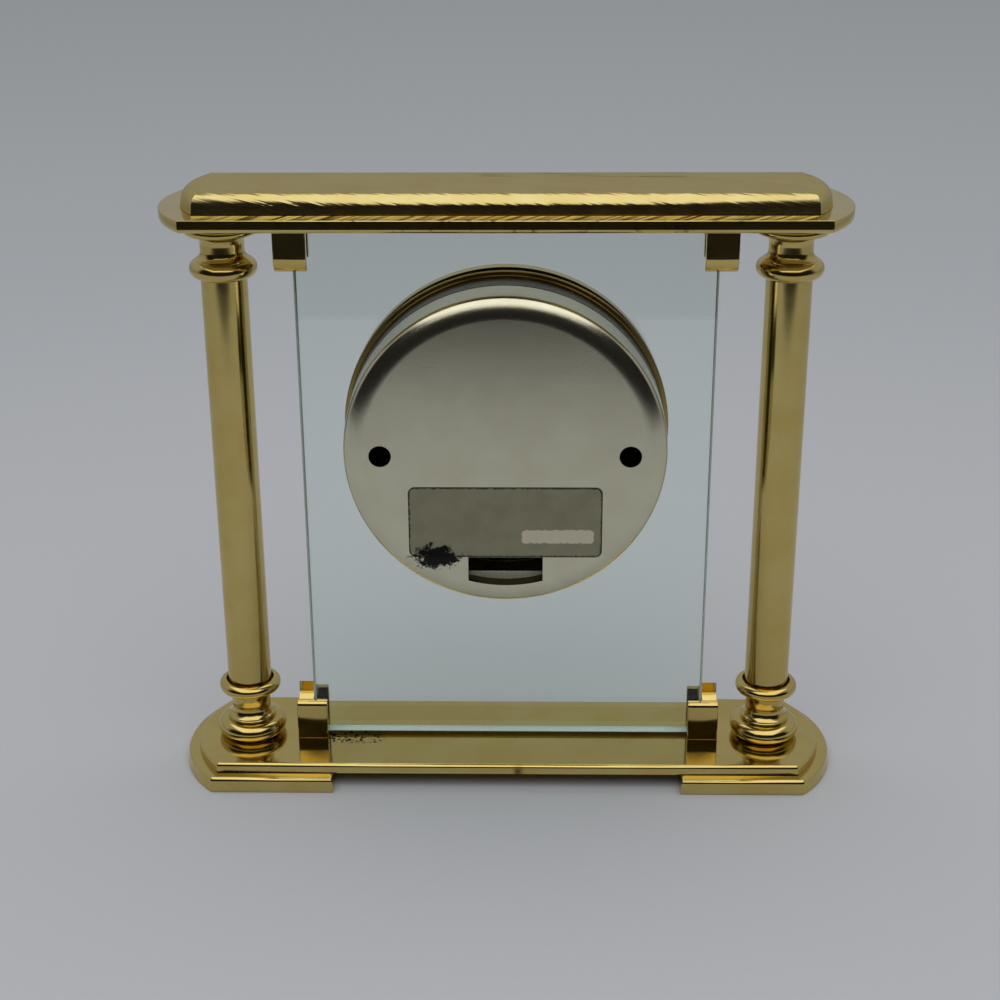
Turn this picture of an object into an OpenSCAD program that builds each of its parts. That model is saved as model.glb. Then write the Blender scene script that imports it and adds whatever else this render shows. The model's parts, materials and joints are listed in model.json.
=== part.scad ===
// Desk clock: a round clock head clamped in a glass panel, held by four clips
// between a base plate and a two-step top that stand on two turned columns.
// Millimetres, +Z up, the dial faces -Y, the origin is under the middle of the clock.

/* [Plates] */
// Length of the base plate and of the top plate over their bulged ends
plate_l = 178.4; // [150:0.2:220]
// Depth of both plates from front to back
plate_d = 40; // [34:0.5:50]
// Radius of the bulged ends
end_r = 29.3; // [26:0.1:40]
// Thickness of the base plate
base_t = 2.7; // [2.4:0.1:5]
// Thickness of the top plate
top_t = 3.4; // [2.4:0.1:6]
// Bevel on the plate edges that face the columns
plate_bevel = 1.1; // [0.3:0.1:1.5]
// How far the foot plates stand out round the base plate
foot_out = 3.4; // [1:0.1:6]
// Thickness of the foot plates
foot_t = 4.2; // [3:0.1:8]
// Length of each foot plate
foot_l = 44.1; // [36:0.1:60]
// Bevel on the upper edge of the foot plates
foot_bevel = 1.2; // [0.3:0.1:1.8]
// How far the crown block steps in from the top plate
crown_in = 5.6; // [3:0.1:8]
// Thickness of the crown block
crown_t = 5.1; // [4.8:0.1:8]
// Radius of the crown block's rounded upper edge
crown_r = 2.2; // [0.8:0.1:3]

/* [Columns] */
// Distance of each column's axis from the end of the plates
column_in = 15.4; // [13:0.1:20]
// Clear height between the base plate and the top plate
column_h = 152.1; // [140:0.1:190]
// Diameter of the plain shaft
shaft_d = 12.2; // [11:0.1:13.2]
// Wall of the shaft tube
shaft_wall = 1.1; // [0.6:0.1:2]
// Depth of the shaft's socket in its foot and capital
socket_h = 1.6; // [1:0.1:2]
// Play round the shaft in its sockets
socket_play = 0.05; // [0.02:0.01:0.1]
// Largest diameter of the capital, at the fillet under the top plate
capital_d = 21; // [20.6:0.1:24]
// Height of the capital
capital_h = 16.3; // [15.9:0.1:20]
// Height of the fillet on top of the capital
fillet_h = 2; // [1:0.1:2.6]
// Height of the capital's flange with its fillet
flange_h = 4.6; // [3.8:0.1:5]
// Radius of the cove under the flange
cove_r = 3.4; // [2:0.1:3.6]
// Diameter of the capital's neck
neck_d = 11.6; // [10:0.1:12]
// Diameter over the capital's bead
bead_d = 17.8; // [17:0.1:20]
// Radius of the bead in section
bead_r = 2.4; // [2:0.1:2.5]
// Radius of the sweep from the neck out to the bead
bell_r = 2.6; // [1.6:0.1:2.8]
// Diameter over the disc of the column foot
disc_d = 19.4; // [18:0.1:22]
// Thickness of the disc
disc_t = 5.2; // [3.6:0.1:5.4]
// Diameter of the fillet on the disc
disc_step_d = 13.4; // [12.4:0.1:14]
// Radius of the sweep from the fillet into the neck
sweep_r = 2.9; // [2.4:0.1:3.2]
// Diameter of the foot's neck
foot_neck_d = 10.8; // [10:0.1:11.4]
// Diameter over the upper ring of the column foot
collar_d = 17.4; // [16.8:0.1:19]
// Radius of that ring in section
collar_r = 1.75; // [1.6:0.05:1.9]
// Height of the column foot
column_foot_h = 17.3; // [16.8:0.1:20]
// Radius of the hollow under that ring
hollow_r = 1.6; // [1:0.1:1.7]

/* [Fixings] */
// Diameter of the bolt that ties each column between the plates
tie_d = 4; // [3:0.1:5]
// Diameter of the bolt's countersunk head
tie_head_d = 7.8; // [6.6:0.1:9]
// Width of the tie nut across its corners
nut_d = 8.08; // [7:0.02:9]
// Thickness of the tie nut
nut_t = 3; // [2:0.1:3.4]
// Distance of the crown block's screws from the middle
crown_screw_x = 36; // [20:0.5:45]
// Diameter of the small screws
screw_d = 2.6; // [2:0.1:3]
// Diameter of the small screws' countersunk heads
screw_head_d = 4.8; // [4:0.1:5.4]
// Play round bolts and screws in their holes
hole_play = 0.1; // [0.05:0.01:0.2]

/* [Glass panel] */
// Distance from a column's axis to the edge of the glass
glass_in = 18.4; // [14.6:0.1:24]
// Thickness of the glass
glass_t = 5; // [4:0.1:6]
// How far the round hole in the glass lies inside the case's wall
hole_in = 3; // [2.4:0.1:3.4]
// Play above the glass, under the top clips
glass_play = 0.2; // [0.2:0.1:1]

/* [Clips] */
// Width of a clip
clip_w = 8.6; // [8:0.1:11]
// Thickness of each ear of a clip
ear_t = 2.2; // [1.6:0.1:3.5]
// How far the long ear of a clip reaches along the glass
ear_h = 14.4; // [12:0.1:16]
// Radius of the long ear's tapered nose
nose_r = 4.4; // [3:0.1:5]
// How much shorter the other ear is
ear_less = 2.9; // [2:0.1:4]
// Thickness of the floor that joins the ears
strap_t = 0.6; // [0.5:0.05:1.2]
// How far the closed side beside the glass edge stays below the short ear
web_low = 0.2; // [0.2:0.1:1]
// How deep a clip screw enters its clip
clip_grip = 4; // [3:0.1:6]
// Thickness of the soft liner between clip and glass
liner_t = 0.15; // [0.1:0.05:0.4]
// How far the middle of a clip lies outside the glass edge
clip_shift = 0.4; // [-0.4:0.1:0.6]

/* [Clock head] */
// Height of the dial's centre above the table
head_z = 101.8; // [88:0.2:108]
// Room between the movement's corners and the sleeve, which sets the case's diameter
move_gap = 2.08; // [1.6:0.01:6]
// How far the rear flange stands out round the case
flange_out = 1.3; // [0.3:0.1:4]
// Length of the rear housing behind the glass
case_l = 9.9; // [9:0.1:16]
// Room between the setting knob and the rear cap, which sets the cap's length
cap_room = 2; // [0.6:0.1:8]
// Wall of the housing and of the cap
case_wall = 0.8; // [0.6:0.05:1.2]
// Radius of the cap's rounded shoulder
shoulder_r = 5.5; // [2:0.1:5.5]
// Gap between the cap and the sleeve that it pulls off
cap_gap = 0.3; // [0.2:0.05:0.5]
// Length of the sleeve inside the cap
sleeve_l = 5.5; // [3:0.1:8]
// Distance of the two driver holes and clamp screws from the case's wall
clamp_in = 9.7; // [9.2:0.1:10.4]
// Diameter of the driver holes in the cap
driver_hole_d = 5.8; // [4:0.1:6.6]
// Diameter of the clamp screws
clamp_d = 3; // [2.5:0.1:3.4]
// Thickness of the gaskets on both sides of the glass
gasket_t = 0.4; // [0.2:0.05:0.8]
// How far the bezel on the dial side stands out round the case
bezel_out = 1; // [0.4:0.1:3]
// Radius of the bezel's round crest
bezel_r = 2.7; // [2:0.1:3]
// Width of the bezel from its rim to its clear opening
bezel_w = 6.2; // [5.6:0.1:8]
// Thickness of the front crystal
crystal_t = 1.2; // [0.8:0.1:1.4]

/* [Finger notch and label] */
// Width of the finger notch in the cap
notch_w = 19.6; // [14:0.2:24]
// Height of the finger notch
notch_h = 8.1; // [5:0.1:9]
// Depth of the lip that is folded in along the notch
lip_l = 4.9; // [4:0.1:9.4]
// Height of the tab at the end of the lip
tab_h = 2.3; // [1.2:0.1:3]
// Width of the foil label
label_w = 50.6; // [40:0.2:50.8]
// Height of the foil label
label_h = 19.8; // [12:0.2:20]
// Thickness of the foil label
label_t = 0.12; // [0.1:0.01:0.3]

/* [Dial and hands] */
// How far the dial's rim lies inside the hole in the glass
dial_in = 1.5; // [1.4:0.05:2]
// Thickness of the dial
dial_t = 0.6; // [0.4:0.1:0.8]
// Reach of the hour hand
hour_l = 20.5; // [15:0.5:26]
// Reach of the minute hand
minute_l = 30; // [24:0.5:33]
// Hour shown by the hands
show_hour = 10; // [0:1:11]
// Minute shown by the hands
show_minute = 10; // [0:1:59]

/* [Movement] */
// Room for the contacts at the ends of the battery, which sets the movement's width
contact_room = 5.1; // [4:0.1:8]
// Reach of the wheel train towards the battery, which sets the movement's height
train_low = 11.3; // [11.2:0.1:14]
// Corner radius of the movement
move_r = 3.8; // [2:0.1:3.8]
// Wall of the movement's case
move_wall = 1; // [0.8:0.05:1.1]
// Length of the battery over its body
battery_l = 48.9; // [44:0.1:56]
// Diameter of the battery
battery_d = 14.2; // [13:0.1:16]
// Diameter of the setting knob
knob_d = 10.4; // [8:0.1:12]
// Running clearance round arbors and posts
run_gap = 0.1; // [0.08:0.01:0.14]

/* [Hidden] */
$fn = 96;
eps = 0.01;

// Heights of the frame, from the table up
base_z = foot_t;
deck_z = base_z + base_t;
soffit_z = deck_z + column_h;
ledge_z = soffit_z + top_t;

// Outline of the plates: two straight edges and two arcs about (+-end_c, 0)
end_c = plate_l / 2 - end_r;
foot_end = plate_l / 2 + foot_out;
column_x = plate_l / 2 - column_in;
glass_w = 2 * (column_x - glass_in);

// Movement: its walls stand round the battery, and the case round its corners
bay_play = 0.3;
bay_wall = 0.9;
bay_sink = 0.5;
move_w = battery_l + contact_room + 2 * move_wall;
move_h = 2 * (train_low + bay_wall + 2 * bay_play + battery_d + move_wall);
move_t = move_wall + bay_play + battery_d + bay_sink;
corner_r = norm([move_w / 2 - move_r, move_h / 2 - move_r]) + move_r;
case_r = corner_r + move_gap + 2 * case_wall + cap_gap;

// Places along the head's axis, behind (+) and before (-) the middle of the glass
glass_y = glass_t / 2;
gasket_y = glass_y + gasket_t;
case_y = glass_y + case_l;
flange_t = case_wall;
cap_in_r = case_r - case_wall;
sleeve_r = cap_in_r - cap_gap;
hole_r = case_r - hole_in;
gasket_in = 0.3;
tray_play = 0.5;
tray_r = hole_r - tray_play;
tray_in_r = tray_r - case_wall;
bezel_rim_r = case_r + bezel_out;
bezel_open_r = bezel_rim_r - bezel_w;
bezel_wall = 0.8;
tray_flange_r = bezel_rim_r - bezel_wall;
tray_front_y = -gasket_y - flange_t;
crystal_gap = 0.6;
crystal_back_y = tray_front_y - crystal_gap;
crystal_front_y = crystal_back_y - crystal_t;
crystal_lap = 2.2;
crystal_r = bezel_open_r + crystal_lap;
bezel_lip_t = 0.9;
bezel_mid_r = bezel_rim_r - bezel_r;
bezel_mid_y = crystal_front_y - 0.2;
dial_y = 1.4;
dial_back_y = dial_y + dial_t;
dial_r = hole_r - dial_in;
ring_back_w = 2.3;
ring_front_w = 1.1;
seat_y = dial_back_y;
seat_t = 0.8;
seat_w = 1.5;
clamp_x = case_r - clamp_in;
tab_w = 8.4;
tab_reach = 3;
tab_in = clamp_x - tab_reach;
tab_t = 1.6;
tab_gap = 2;
house_tab_y = seat_y + tab_t + tab_gap;
clamp_head_y = house_tab_y + tab_t;
clamp_head_d = clamp_d + 2.5;
clamp_head_t = 2;
clamp_slot = 0.7;
notch_r = case_r - shoulder_r;

// Movement: planes behind the dial, then the places of its wheels
washer_t = seat_t + 0.1;
move_y = dial_back_y + washer_t;
floor_y = move_y + move_wall;
move_back_y = move_y + move_t;
bay_bottom = -move_h / 2 + move_wall;
bay_top = bay_bottom + battery_d + 2 * bay_play;
battery_z = (bay_top + bay_bottom) / 2;
battery_y = floor_y + bay_play + battery_d / 2;
nub_r = 2.7;
nub_h = 1.2;
contact_t = 0.4;
contact_h = 9;
contact_in = 1.5;
spring_r = 3.6;
spring_gap = 0.15;
minus_x = -move_w / 2 + move_wall;
battery_x = move_w / 2 - move_wall - contact_t - bay_play - nub_h - battery_l;
plane_step = 1;
wheel_t = 0.7;
hour_y = floor_y + 0.4;
motion_y = hour_y + plane_step;
centre_y = motion_y + plane_step;
third_y = centre_y + plane_step;
second_y = third_y + plane_step;
step_y = second_y + plane_step;
bridge_y = step_y + plane_step;
bridge_t = 1;
motor_y = bridge_y + bridge_t + 0.2;
magnet_t = 2;
stator_t = 1.2;
board_y = bridge_y + bridge_t + 0.3;
board_t = 0.8;
knob_y = move_back_y + 0.5;
knob_t = 2.8;
cap_y = knob_y + knob_t + cap_room + case_wall;
bush_r = 4;
nut_w = 1.6;
washer_w = 4;
hour_tube_r = 2.5;
minute_tube_r = 1.6;
second_pin_r = 0.5;
post_r = 0.5;
knob_pin_r = 1.2;
nut_y = dial_y - 1.5;
hour_hand_y = -1.2;
minute_hand_y = -2.1;
hand_cap_y = -3;
hand_t = 0.3;
hub_t = 0.6;

// The clock stands centred front to back over its own outline
depth_front = plate_d / 2 + foot_out;
mid_y = (cap_y + label_t - depth_front) / 2;

// Teeth, then the centre distances that they share, for a 56 mm movement times train_k
cannon_n = 12;
motion_n = 36;
motion_pinion_n = 10;
hour_n = 40;
knob_n = 12;
centre_n = 64;
third_pinion_n = 8;
third_n = 60;
second_pinion_n = 8;
second_n = 50;
step_pinion_n = 10;
step_n = 48;
rotor_n = 8;
train_k = min(move_w, move_h) / 56;
motion_dist = 13 * train_k;
third_dist = 12 * train_k;
step_dist = 12 * train_k;
rotor_dist = 8.4 * train_k;
motion_a = 0;
knob_a = 120;
third_a = 130;
step_a = -10;
rotor_a = 60;
function away(p, d, a) = [p[0] + d * cos(a), p[1] + d * sin(a)];
centre_p = [0, 0];
motion_p = away(centre_p, motion_dist, motion_a);
knob_p = away(motion_p, motion_dist, knob_a);
third_p = away(centre_p, third_dist, third_a);
step_p = away(centre_p, step_dist, step_a);
rotor_p = away(step_p, rotor_dist, rotor_a);
pillars = train_k * [[-22, -9], [1, 22], [21.4, -9.5]];
pillar_r = 1.1;
coil_x = 23 * train_k;
coil_r = 2.4;
core_w = 2;
coil_low = -8.2 * train_k;
coil_high = 12 * train_k;
leg_w = 2.2;
stator_left = 11.6 * train_k;
stator_window = 20.2 * train_k;
rotor_r = 2.4;
bridge_notch = train_k * [18.8, -8.7];
board_left = -25.4 * train_k;
board_right = -3 * train_k;
board_low = -10.8 * train_k;
board_top = 15 * train_k;
chip_w = 5;
chip_t = 1.2;
can_r = 1;
can_l = 7;

// A follower's tooth angle that puts it in mesh, from the driver's tooth angle
function mesh_a(dir, n1, a1, n2) = dir + 180 + ((dir - a1) * n1 / 360 - 0.5) * 360 / n2;
function module_of(dist, n1, n2) = 2 * dist / (n1 + n2);
motion_tooth = mesh_a(motion_a, cannon_n, 0, motion_n);
knob_tooth = mesh_a(knob_a, motion_n, motion_tooth, knob_n);
third_tooth = mesh_a(third_a, second_pinion_n, 0, third_n);
third_pinion_tooth = mesh_a(third_a, centre_n, 0, third_pinion_n);
step_pinion_tooth = mesh_a(step_a, second_n, 0, step_pinion_n);
rotor_tooth = mesh_a(rotor_a, step_n, 0, rotor_n);
motion_pinion_tooth = mesh_a(motion_a, hour_n, 0, motion_pinion_n);

// Hand angles, clockwise from twelve as seen from the dial side
minute_a = show_minute * 6;
hour_a = (show_hour + minute_a / 360) * 30;

// Puts a piece in the clock's frame
module placed() {
    translate([0, -mid_y, 0]) children();
}

// A flat shape drawn in X and Z about the head's centre, from y0 back to y1
module slab(y0, y1) {
    translate([0, y1, head_z]) rotate([90, 0, 0]) linear_extrude(y1 - y0) children();
}

// A profile of radius and place along the axis, turned about the head's axis
module spun() {
    translate([0, 0, head_z]) rotate([-90, 0, 0]) rotate_extrude($fn = 180) children();
}

// A rectangle from corner to corner
module box2(x0, y0, x1, y1) {
    translate([x0, y0]) square([x1 - x0, y1 - y0]);
}

// A round-cornered rectangle, drawn exactly with squares and circles
module round_box2(x0, y0, x1, y1, r) {
    box2(x0 + r, y0, x1 - r, y1);
    box2(x0, y0 + r, x1, y1 - r);
    for (x = [x0 + r, x1 - r]) for (y = [y0 + r, y1 - r]) translate([x, y]) circle(r);
}

// A straight bar through the clock from front to back
module rod_y(p, y0, y1, r) {
    translate([p[0], y0, head_z + p[1]]) rotate([-90, 0, 0]) cylinder(r = r, h = y1 - y0, $fn = 48);
}

// Half a plate in section: reach from the middle against height, bevelled along its rims
module bevelled_edge(reach, t, low, high, from = 0) {
    polygon([[from, 0], [reach - low, 0], [reach, low], [reach, t - high], [reach - high, t], [from, t]]);
}

// Half a plate in section, with a quarter round along its upper rim
module rounded_edge(reach, t, r) {
    box2(0, 0, reach - r, t);
    box2(0, 0, reach, t - r);
    translate([reach - r, t - r]) circle(r);
}

// Sweeps an edge section round the plate outline: arcs at both ends, straight sides.
// The section is given twice, reaching out to the straight side and to the arc.
module plate_body() {
    intersection() {
        rotate([90, 0, 90]) translate([0, 0, -foot_end]) linear_extrude(2 * foot_end) {
            children(0);
            mirror([1, 0]) children(0);
        }
        union() {
            for (s = [-1, 1]) translate([s * end_c, 0, 0]) rotate_extrude($fn = 180) children(1);
            translate([-end_c, -plate_d, 0])
                cube([2 * end_c, 2 * plate_d, base_t + top_t + foot_t + crown_t]);
        }
    }
}

// Countersunk screw that points up from z = 0
module countersunk(r, head_r, len) {
    cylinder(r = r, h = len, $fn = 48);
    countersink(head_r, r);
}

// Cone of 90 degrees from radius low up to radius high
module countersink(low, high) {
    cylinder(r1 = low, r2 = high, h = low - high, $fn = 48);
}

// Toothed outline with radial flanks and rounded-off tips, a tooth at angle a
module toothed(n, m, a) {
    half = 90 / n * 0.78;
    tip = half * 0.42;
    root_r = n * m / 2 - 1.25 * m;
    tip_r = n * m / 2 + 0.85 * m;
    pitch_r = n * m / 2;
    shape = [[root_r, -half], [pitch_r, -half], [tip_r, -tip], [tip_r, tip], [pitch_r, half], [root_r, half]];
    polygon([for (i = [0 : n - 1]) for (q = shape)
        [q[0] * cos(a + 360 * i / n + q[1]), q[0] * sin(a + 360 * i / n + q[1])]]);
}

// A wheel at place p in the plane y
module wheel(p, y, n, m, a) {
    slab(y, y + wheel_t) translate(p) toothed(n, m, a);
}

module foot_plate(s) {
    intersection() {
        plate_body() {
            bevelled_edge(plate_d / 2 + foot_out, foot_t, 0, foot_bevel, -1);
            bevelled_edge(end_r + foot_out, foot_t, 0, foot_bevel);
        }
        translate([s > 0 ? foot_end - foot_l : -foot_end, -plate_d, 0]) cube([foot_l, 2 * plate_d, foot_t]);
    }
}

module foot_plate_side(s) {
    placed() color("goldenrod") difference() {
        foot_plate(s);
        translate([s * column_x, 0, 0]) tie_clearance(foot_t);
        translate([s * column_x, 0, -eps]) cylinder(r = tie_head_d / 2 + hole_play, h = tie_sink + eps);
        translate([s * column_x, 0, tie_sink])
            countersink(tie_head_d / 2 + hole_play, tie_d / 2 + hole_play);
    }
}
tie_sink = 0.3;
tie_slot = 1;
screw_slot = 0.7;

module foot_plate_left() {
    foot_plate_side(-1);
}

module foot_plate_right() {
    foot_plate_side(1);
}

// Clearance hole for a tie bolt through a plate of thickness t
module tie_clearance(t) {
    translate([0, 0, -eps]) cylinder(r = tie_d / 2 + hole_play, h = t + 2 * eps);
}

// Clearance hole for a small screw, its countersink at the face z = 0
module screw_hole(t) {
    translate([0, 0, -eps]) cylinder(r = screw_d / 2 + hole_play, h = t + 2 * eps);
    translate([0, 0, -eps]) countersink(screw_head_d / 2 + hole_play, screw_d / 2 + hole_play);
}
clip_gap = glass_t + 2 * liner_t;
low_ear_h = ear_h - ear_less;
nose_h = sqrt(pow(nose_r, 2) - pow(nose_r - ear_t, 2));
clip_depth = clip_gap + 2 * ear_t;
clip_x = glass_w / 2 + clip_shift;
web_from = -clip_shift + liner_t + 0.1;
web_x = (web_from + clip_w / 2) / 2;

module base_plate() {
    placed() color("goldenrod") translate([0, 0, base_z]) difference() {
        plate_body() {
            bevelled_edge(plate_d / 2, base_t, 0, plate_bevel, -1);
            bevelled_edge(end_r, base_t, 0, plate_bevel);
        }
        for (s = [-1, 1]) {
            translate([s * column_x, 0, 0]) tie_clearance(base_t);
            translate([s * (clip_x + web_x), 0, 0]) screw_hole(base_t);
        }
    }
}

module top_plate() {
    placed() color("goldenrod") translate([0, 0, soffit_z]) difference() {
        plate_body() {
            bevelled_edge(plate_d / 2, top_t, plate_bevel, 0, -1);
            bevelled_edge(end_r, top_t, plate_bevel, 0);
        }
        for (s = [-1, 1]) {
            translate([s * column_x, 0, 0]) tie_clearance(top_t);
            translate([s * (clip_x + web_x), 0, top_t]) mirror([0, 0, 1]) screw_hole(top_t);
            translate([s * crown_screw_x, 0, 0]) screw_hole(top_t);
        }
    }
}

module crown_block() {
    placed() color("goldenrod") translate([0, 0, ledge_z]) difference() {
        plate_body() {
            rounded_edge(plate_d / 2 - crown_in, crown_t, crown_r);
            rounded_edge(end_r - crown_in, crown_t, crown_r);
        }
        for (s = [-1, 1]) {
            translate([s * column_x, 0, -eps]) cylinder(r = nut_d / 2 + 0.3, h = nut_t + 1);
            translate([s * crown_screw_x, 0, -eps]) cylinder(r = screw_d / 2 + 0.02, h = crown_t - 1);
        }
    }
}

module column_shaft(s) {
    placed() color("gold") translate([s * column_x, 0, deck_z + column_foot_h - socket_h]) difference() {
        cylinder(r = shaft_d / 2, h = shaft_h);
        translate([0, 0, -eps]) cylinder(r = shaft_d / 2 - shaft_wall, h = shaft_h + 2 * eps);
    }
}
shaft_h = column_h - column_foot_h - capital_h + 2 * socket_h;

module column_shaft_left() {
    column_shaft(-1);
}

module column_shaft_right() {
    column_shaft(1);
}

// A ring with a round rim in section, from y0 up to y0 + 2 r, out to reach
module round_rim(reach, r, y0) {
    translate([reach - r, y0 + r]) circle(r);
    box2(0, y0, reach - r, y0 + 2 * r);
}

// The fill between a neck and what stands out from it, hollowed by a circle of radius r.
// It starts at y0, where it is reach wide, and ends on the neck r further on.
module hollow(neck, reach, r, y0, dir) {
    difference() {
        box2(0, min(y0, y0 + dir * r), reach, max(y0, y0 + dir * r));
        translate([neck + r, y0 + dir * r]) circle(r);
    }
}

// Section of a capital, measured down from the top plate
module capital_section() {
    rim = capital_d / 2;
    neck = neck_d / 2;
    bead_top = capital_h - 2 * bead_r;
    round_rim(rim, fillet_h / 2, 0);
    round_rim(rim - flange_in, (flange_h - fillet_h) / 2, fillet_h);
    box2(0, 0, neck, capital_h - bead_r);
    hollow(neck, neck + cove_r - hollow_lap, cove_r, flange_h - cove_sink, 1);
    hollow(neck, bead_d / 2 - bead_r + bell_out, bell_r, bead_top + hollow_lap, -1);
    round_rim(bead_d / 2, bead_r, bead_top);
}
flange_in = 0.5;
cove_sink = 0.6;
bell_out = 0.7;
hollow_lap = 0.2;
disc_step_h = 0.8;

module capital(s) {
    placed() color("gold") translate([s * column_x, 0, soffit_z]) mirror([0, 0, 1]) difference() {
        rotate_extrude() capital_section();
        translate([0, 0, -eps]) cylinder(r = tie_d / 2 + hole_play, h = capital_h);
        translate([0, 0, capital_h - socket_h]) cylinder(r = shaft_d / 2 + socket_play, h = socket_h + 1);
    }
}

module capital_left() {
    capital(-1);
}

module capital_right() {
    capital(1);
}

// Section of a column foot, measured up from the base plate
module foot_section() {
    neck = foot_neck_d / 2;
    collar_low = column_foot_h - 2 * collar_r;
    round_rim(disc_d / 2, disc_t / 2, 0);
    box2(0, 0, neck, column_foot_h - collar_r);
    box2(0, 0, disc_step_d / 2, disc_t + disc_step_h);
    hollow(neck, disc_step_d / 2, sweep_r, disc_t + disc_step_h, 1);
    hollow(neck, collar_d / 2 - collar_r, hollow_r, collar_low + hollow_lap, -1);
    round_rim(collar_d / 2, collar_r, collar_low);
}

module column_foot(s) {
    placed() color("gold") translate([s * column_x, 0, deck_z]) difference() {
        rotate_extrude() foot_section();
        translate([0, 0, -eps]) cylinder(r = tie_d / 2 + hole_play, h = column_foot_h);
        translate([0, 0, column_foot_h - socket_h]) cylinder(r = shaft_d / 2 + socket_play, h = socket_h + 1);
        translate([0, 0, column_foot_h - groove_h])
            cylinder(r1 = shaft_d / 2 + socket_play, r2 = shaft_d / 2 + groove_w, h = groove_h + eps);
    }
}
groove_h = 1.2;
groove_w = 0.65;

module column_foot_left() {
    column_foot(-1);
}

module column_foot_right() {
    column_foot(1);
}

module tie_bolts() {
    placed() color("silver") for (s = [-1, 1]) translate([s * column_x, 0, tie_sink]) difference() {
        countersunk(tie_d / 2, tie_head_d / 2, ledge_z + nut_t + 0.4 - tie_sink);
        translate([-tie_head_d, -tie_slot / 2, -eps]) cube([2 * tie_head_d, tie_slot, 0.9]);
    }
}

module tie_nuts() {
    placed() color("silver") for (s = [-1, 1]) translate([s * column_x, 0, ledge_z]) difference() {
        cylinder(r = nut_d / 2, h = nut_t, $fn = 6);
        translate([0, 0, -eps]) cylinder(r = tie_d / 2 + 0.02, h = nut_t + 2 * eps);
    }
}

module crown_screws() {
    placed() color("silver") for (s = [-1, 1]) translate([s * crown_screw_x, 0, soffit_z]) difference() {
        countersunk(screw_d / 2, screw_head_d / 2, top_t + crown_t - 1.4);
        translate([-screw_head_d, -screw_slot / 2, -eps]) cube([2 * screw_head_d, screw_slot, 0.6]);
    }
}

// A clip that stands on z = 0, the glass towards -X
module clip_body() {
    difference() {
        union() {
            intersection() {
                translate([-clip_w / 2, 0, 0]) rotate([90, 0, 90]) linear_extrude(clip_w) clip_side();
                rotate([90, 0, 0]) translate([0, 0, -clip_depth]) linear_extrude(2 * clip_depth) clip_front();
            }
            translate([web_from, -clip_gap / 2 - eps, 0])
                cube([clip_w / 2 - web_from, clip_gap + 2 * eps, low_ear_h - web_low]);
        }
        translate([web_x, 0, -eps]) cylinder(r = screw_d / 2 + 0.02, h = clip_grip + 0.4);
    }
}

// Side view of a clip: a short ear with a quarter-round edge, a long ear with a tapered nose, and
// the floor that joins them
module clip_side() {
    half = clip_depth / 2;
    box2(-half, 0, half, strap_t);
    box2(half - ear_t, 0, half, low_ear_h - ear_t);
    intersection() {
        translate([half - ear_t, low_ear_h - ear_t]) circle(ear_t);
        box2(half - ear_t, 0, half, low_ear_h);
    }
    mirror([1, 0]) {
        box2(half - ear_t, 0, half, ear_h - nose_h);
        intersection() {
            translate([half - nose_r, ear_h - nose_h]) circle(nose_r);
            box2(half - ear_t, 0, half, ear_h);
        }
    }
}

// Front view of a clip, with small round corners at the long ear's tip
module clip_front() {
    box2(-clip_w / 2, 0, clip_w / 2, ear_h - 1);
    box2(-clip_w / 2 + 1, 0, clip_w / 2 - 1, ear_h);
    for (x = [-clip_w / 2 + 1, clip_w / 2 - 1]) translate([x, ear_h - 1]) circle(1);
}

module clip_base(s) {
    placed() color("goldenrod") translate([s * clip_x, 0, deck_z]) scale([s, 1, 1]) clip_body();
}

// A hanging clip is turned over, so its long ear lies at the rear
module clip_top(s) {
    placed() color("goldenrod") translate([s * clip_x, 0, soffit_z]) scale([s, -1, -1]) clip_body();
}

module clip_base_left() {
    clip_base(-1);
}

module clip_base_right() {
    clip_base(1);
}

module clip_top_left() {
    clip_top(-1);
}

module clip_top_right() {
    clip_top(1);
}

module clip_screws() {
    placed() color("silver") for (s = [-1, 1]) {
        translate([s * (clip_x + web_x), 0, base_z]) clip_screw(base_t + clip_grip);
        translate([s * (clip_x + web_x), 0, ledge_z]) mirror([0, 0, 1]) clip_screw(top_t + clip_grip);
    }
}

module clip_screw(reach) {
    difference() {
        countersunk(screw_d / 2, screw_head_d / 2, reach);
        translate([-screw_head_d, -screw_slot / 2, -eps]) cube([2 * screw_head_d, screw_slot, 0.6]);
    }
}

// Soft liner: a shallow trough under the glass corner and up both its faces
module liner_body() {
    len = clip_w / 2 - clip_shift - 0.2;
    translate([-clip_w / 2 + 0.2, 0, strap_t]) rotate([90, 0, 90]) linear_extrude(len) difference() {
        box2(-clip_gap / 2, 0, clip_gap / 2, low_ear_h - 2 * strap_t);
        box2(-glass_t / 2, liner_t, glass_t / 2, ear_h);
    }
}

module clip_liners() {
    placed() color("dimgray") for (s = [-1, 1]) {
        translate([s * clip_x, 0, deck_z]) scale([s, 1, 1]) liner_body();
        translate([s * clip_x, 0, soffit_z]) scale([s, 1, -1]) liner_body();
    }
}

module glass_panel() {
    low = deck_z + strap_t + liner_t;
    high = soffit_z - strap_t - liner_t - glass_play;
    placed() color("lightcyan", 0.4) difference() {
        translate([-glass_w / 2, -glass_y, low]) cube([glass_w, glass_t, high - low]);
        rod_y(centre_p, -glass_y - eps, glass_y + eps, hole_r);
    }
}

module front_gasket() {
    placed() color("black") spun() box2(hole_r + gasket_in, -gasket_y, tray_flange_r - 0.2, -glass_y);
}

module rear_gasket() {
    placed() color("black") spun() box2(hole_r + gasket_in, glass_y, case_r, gasket_y);
}

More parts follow.
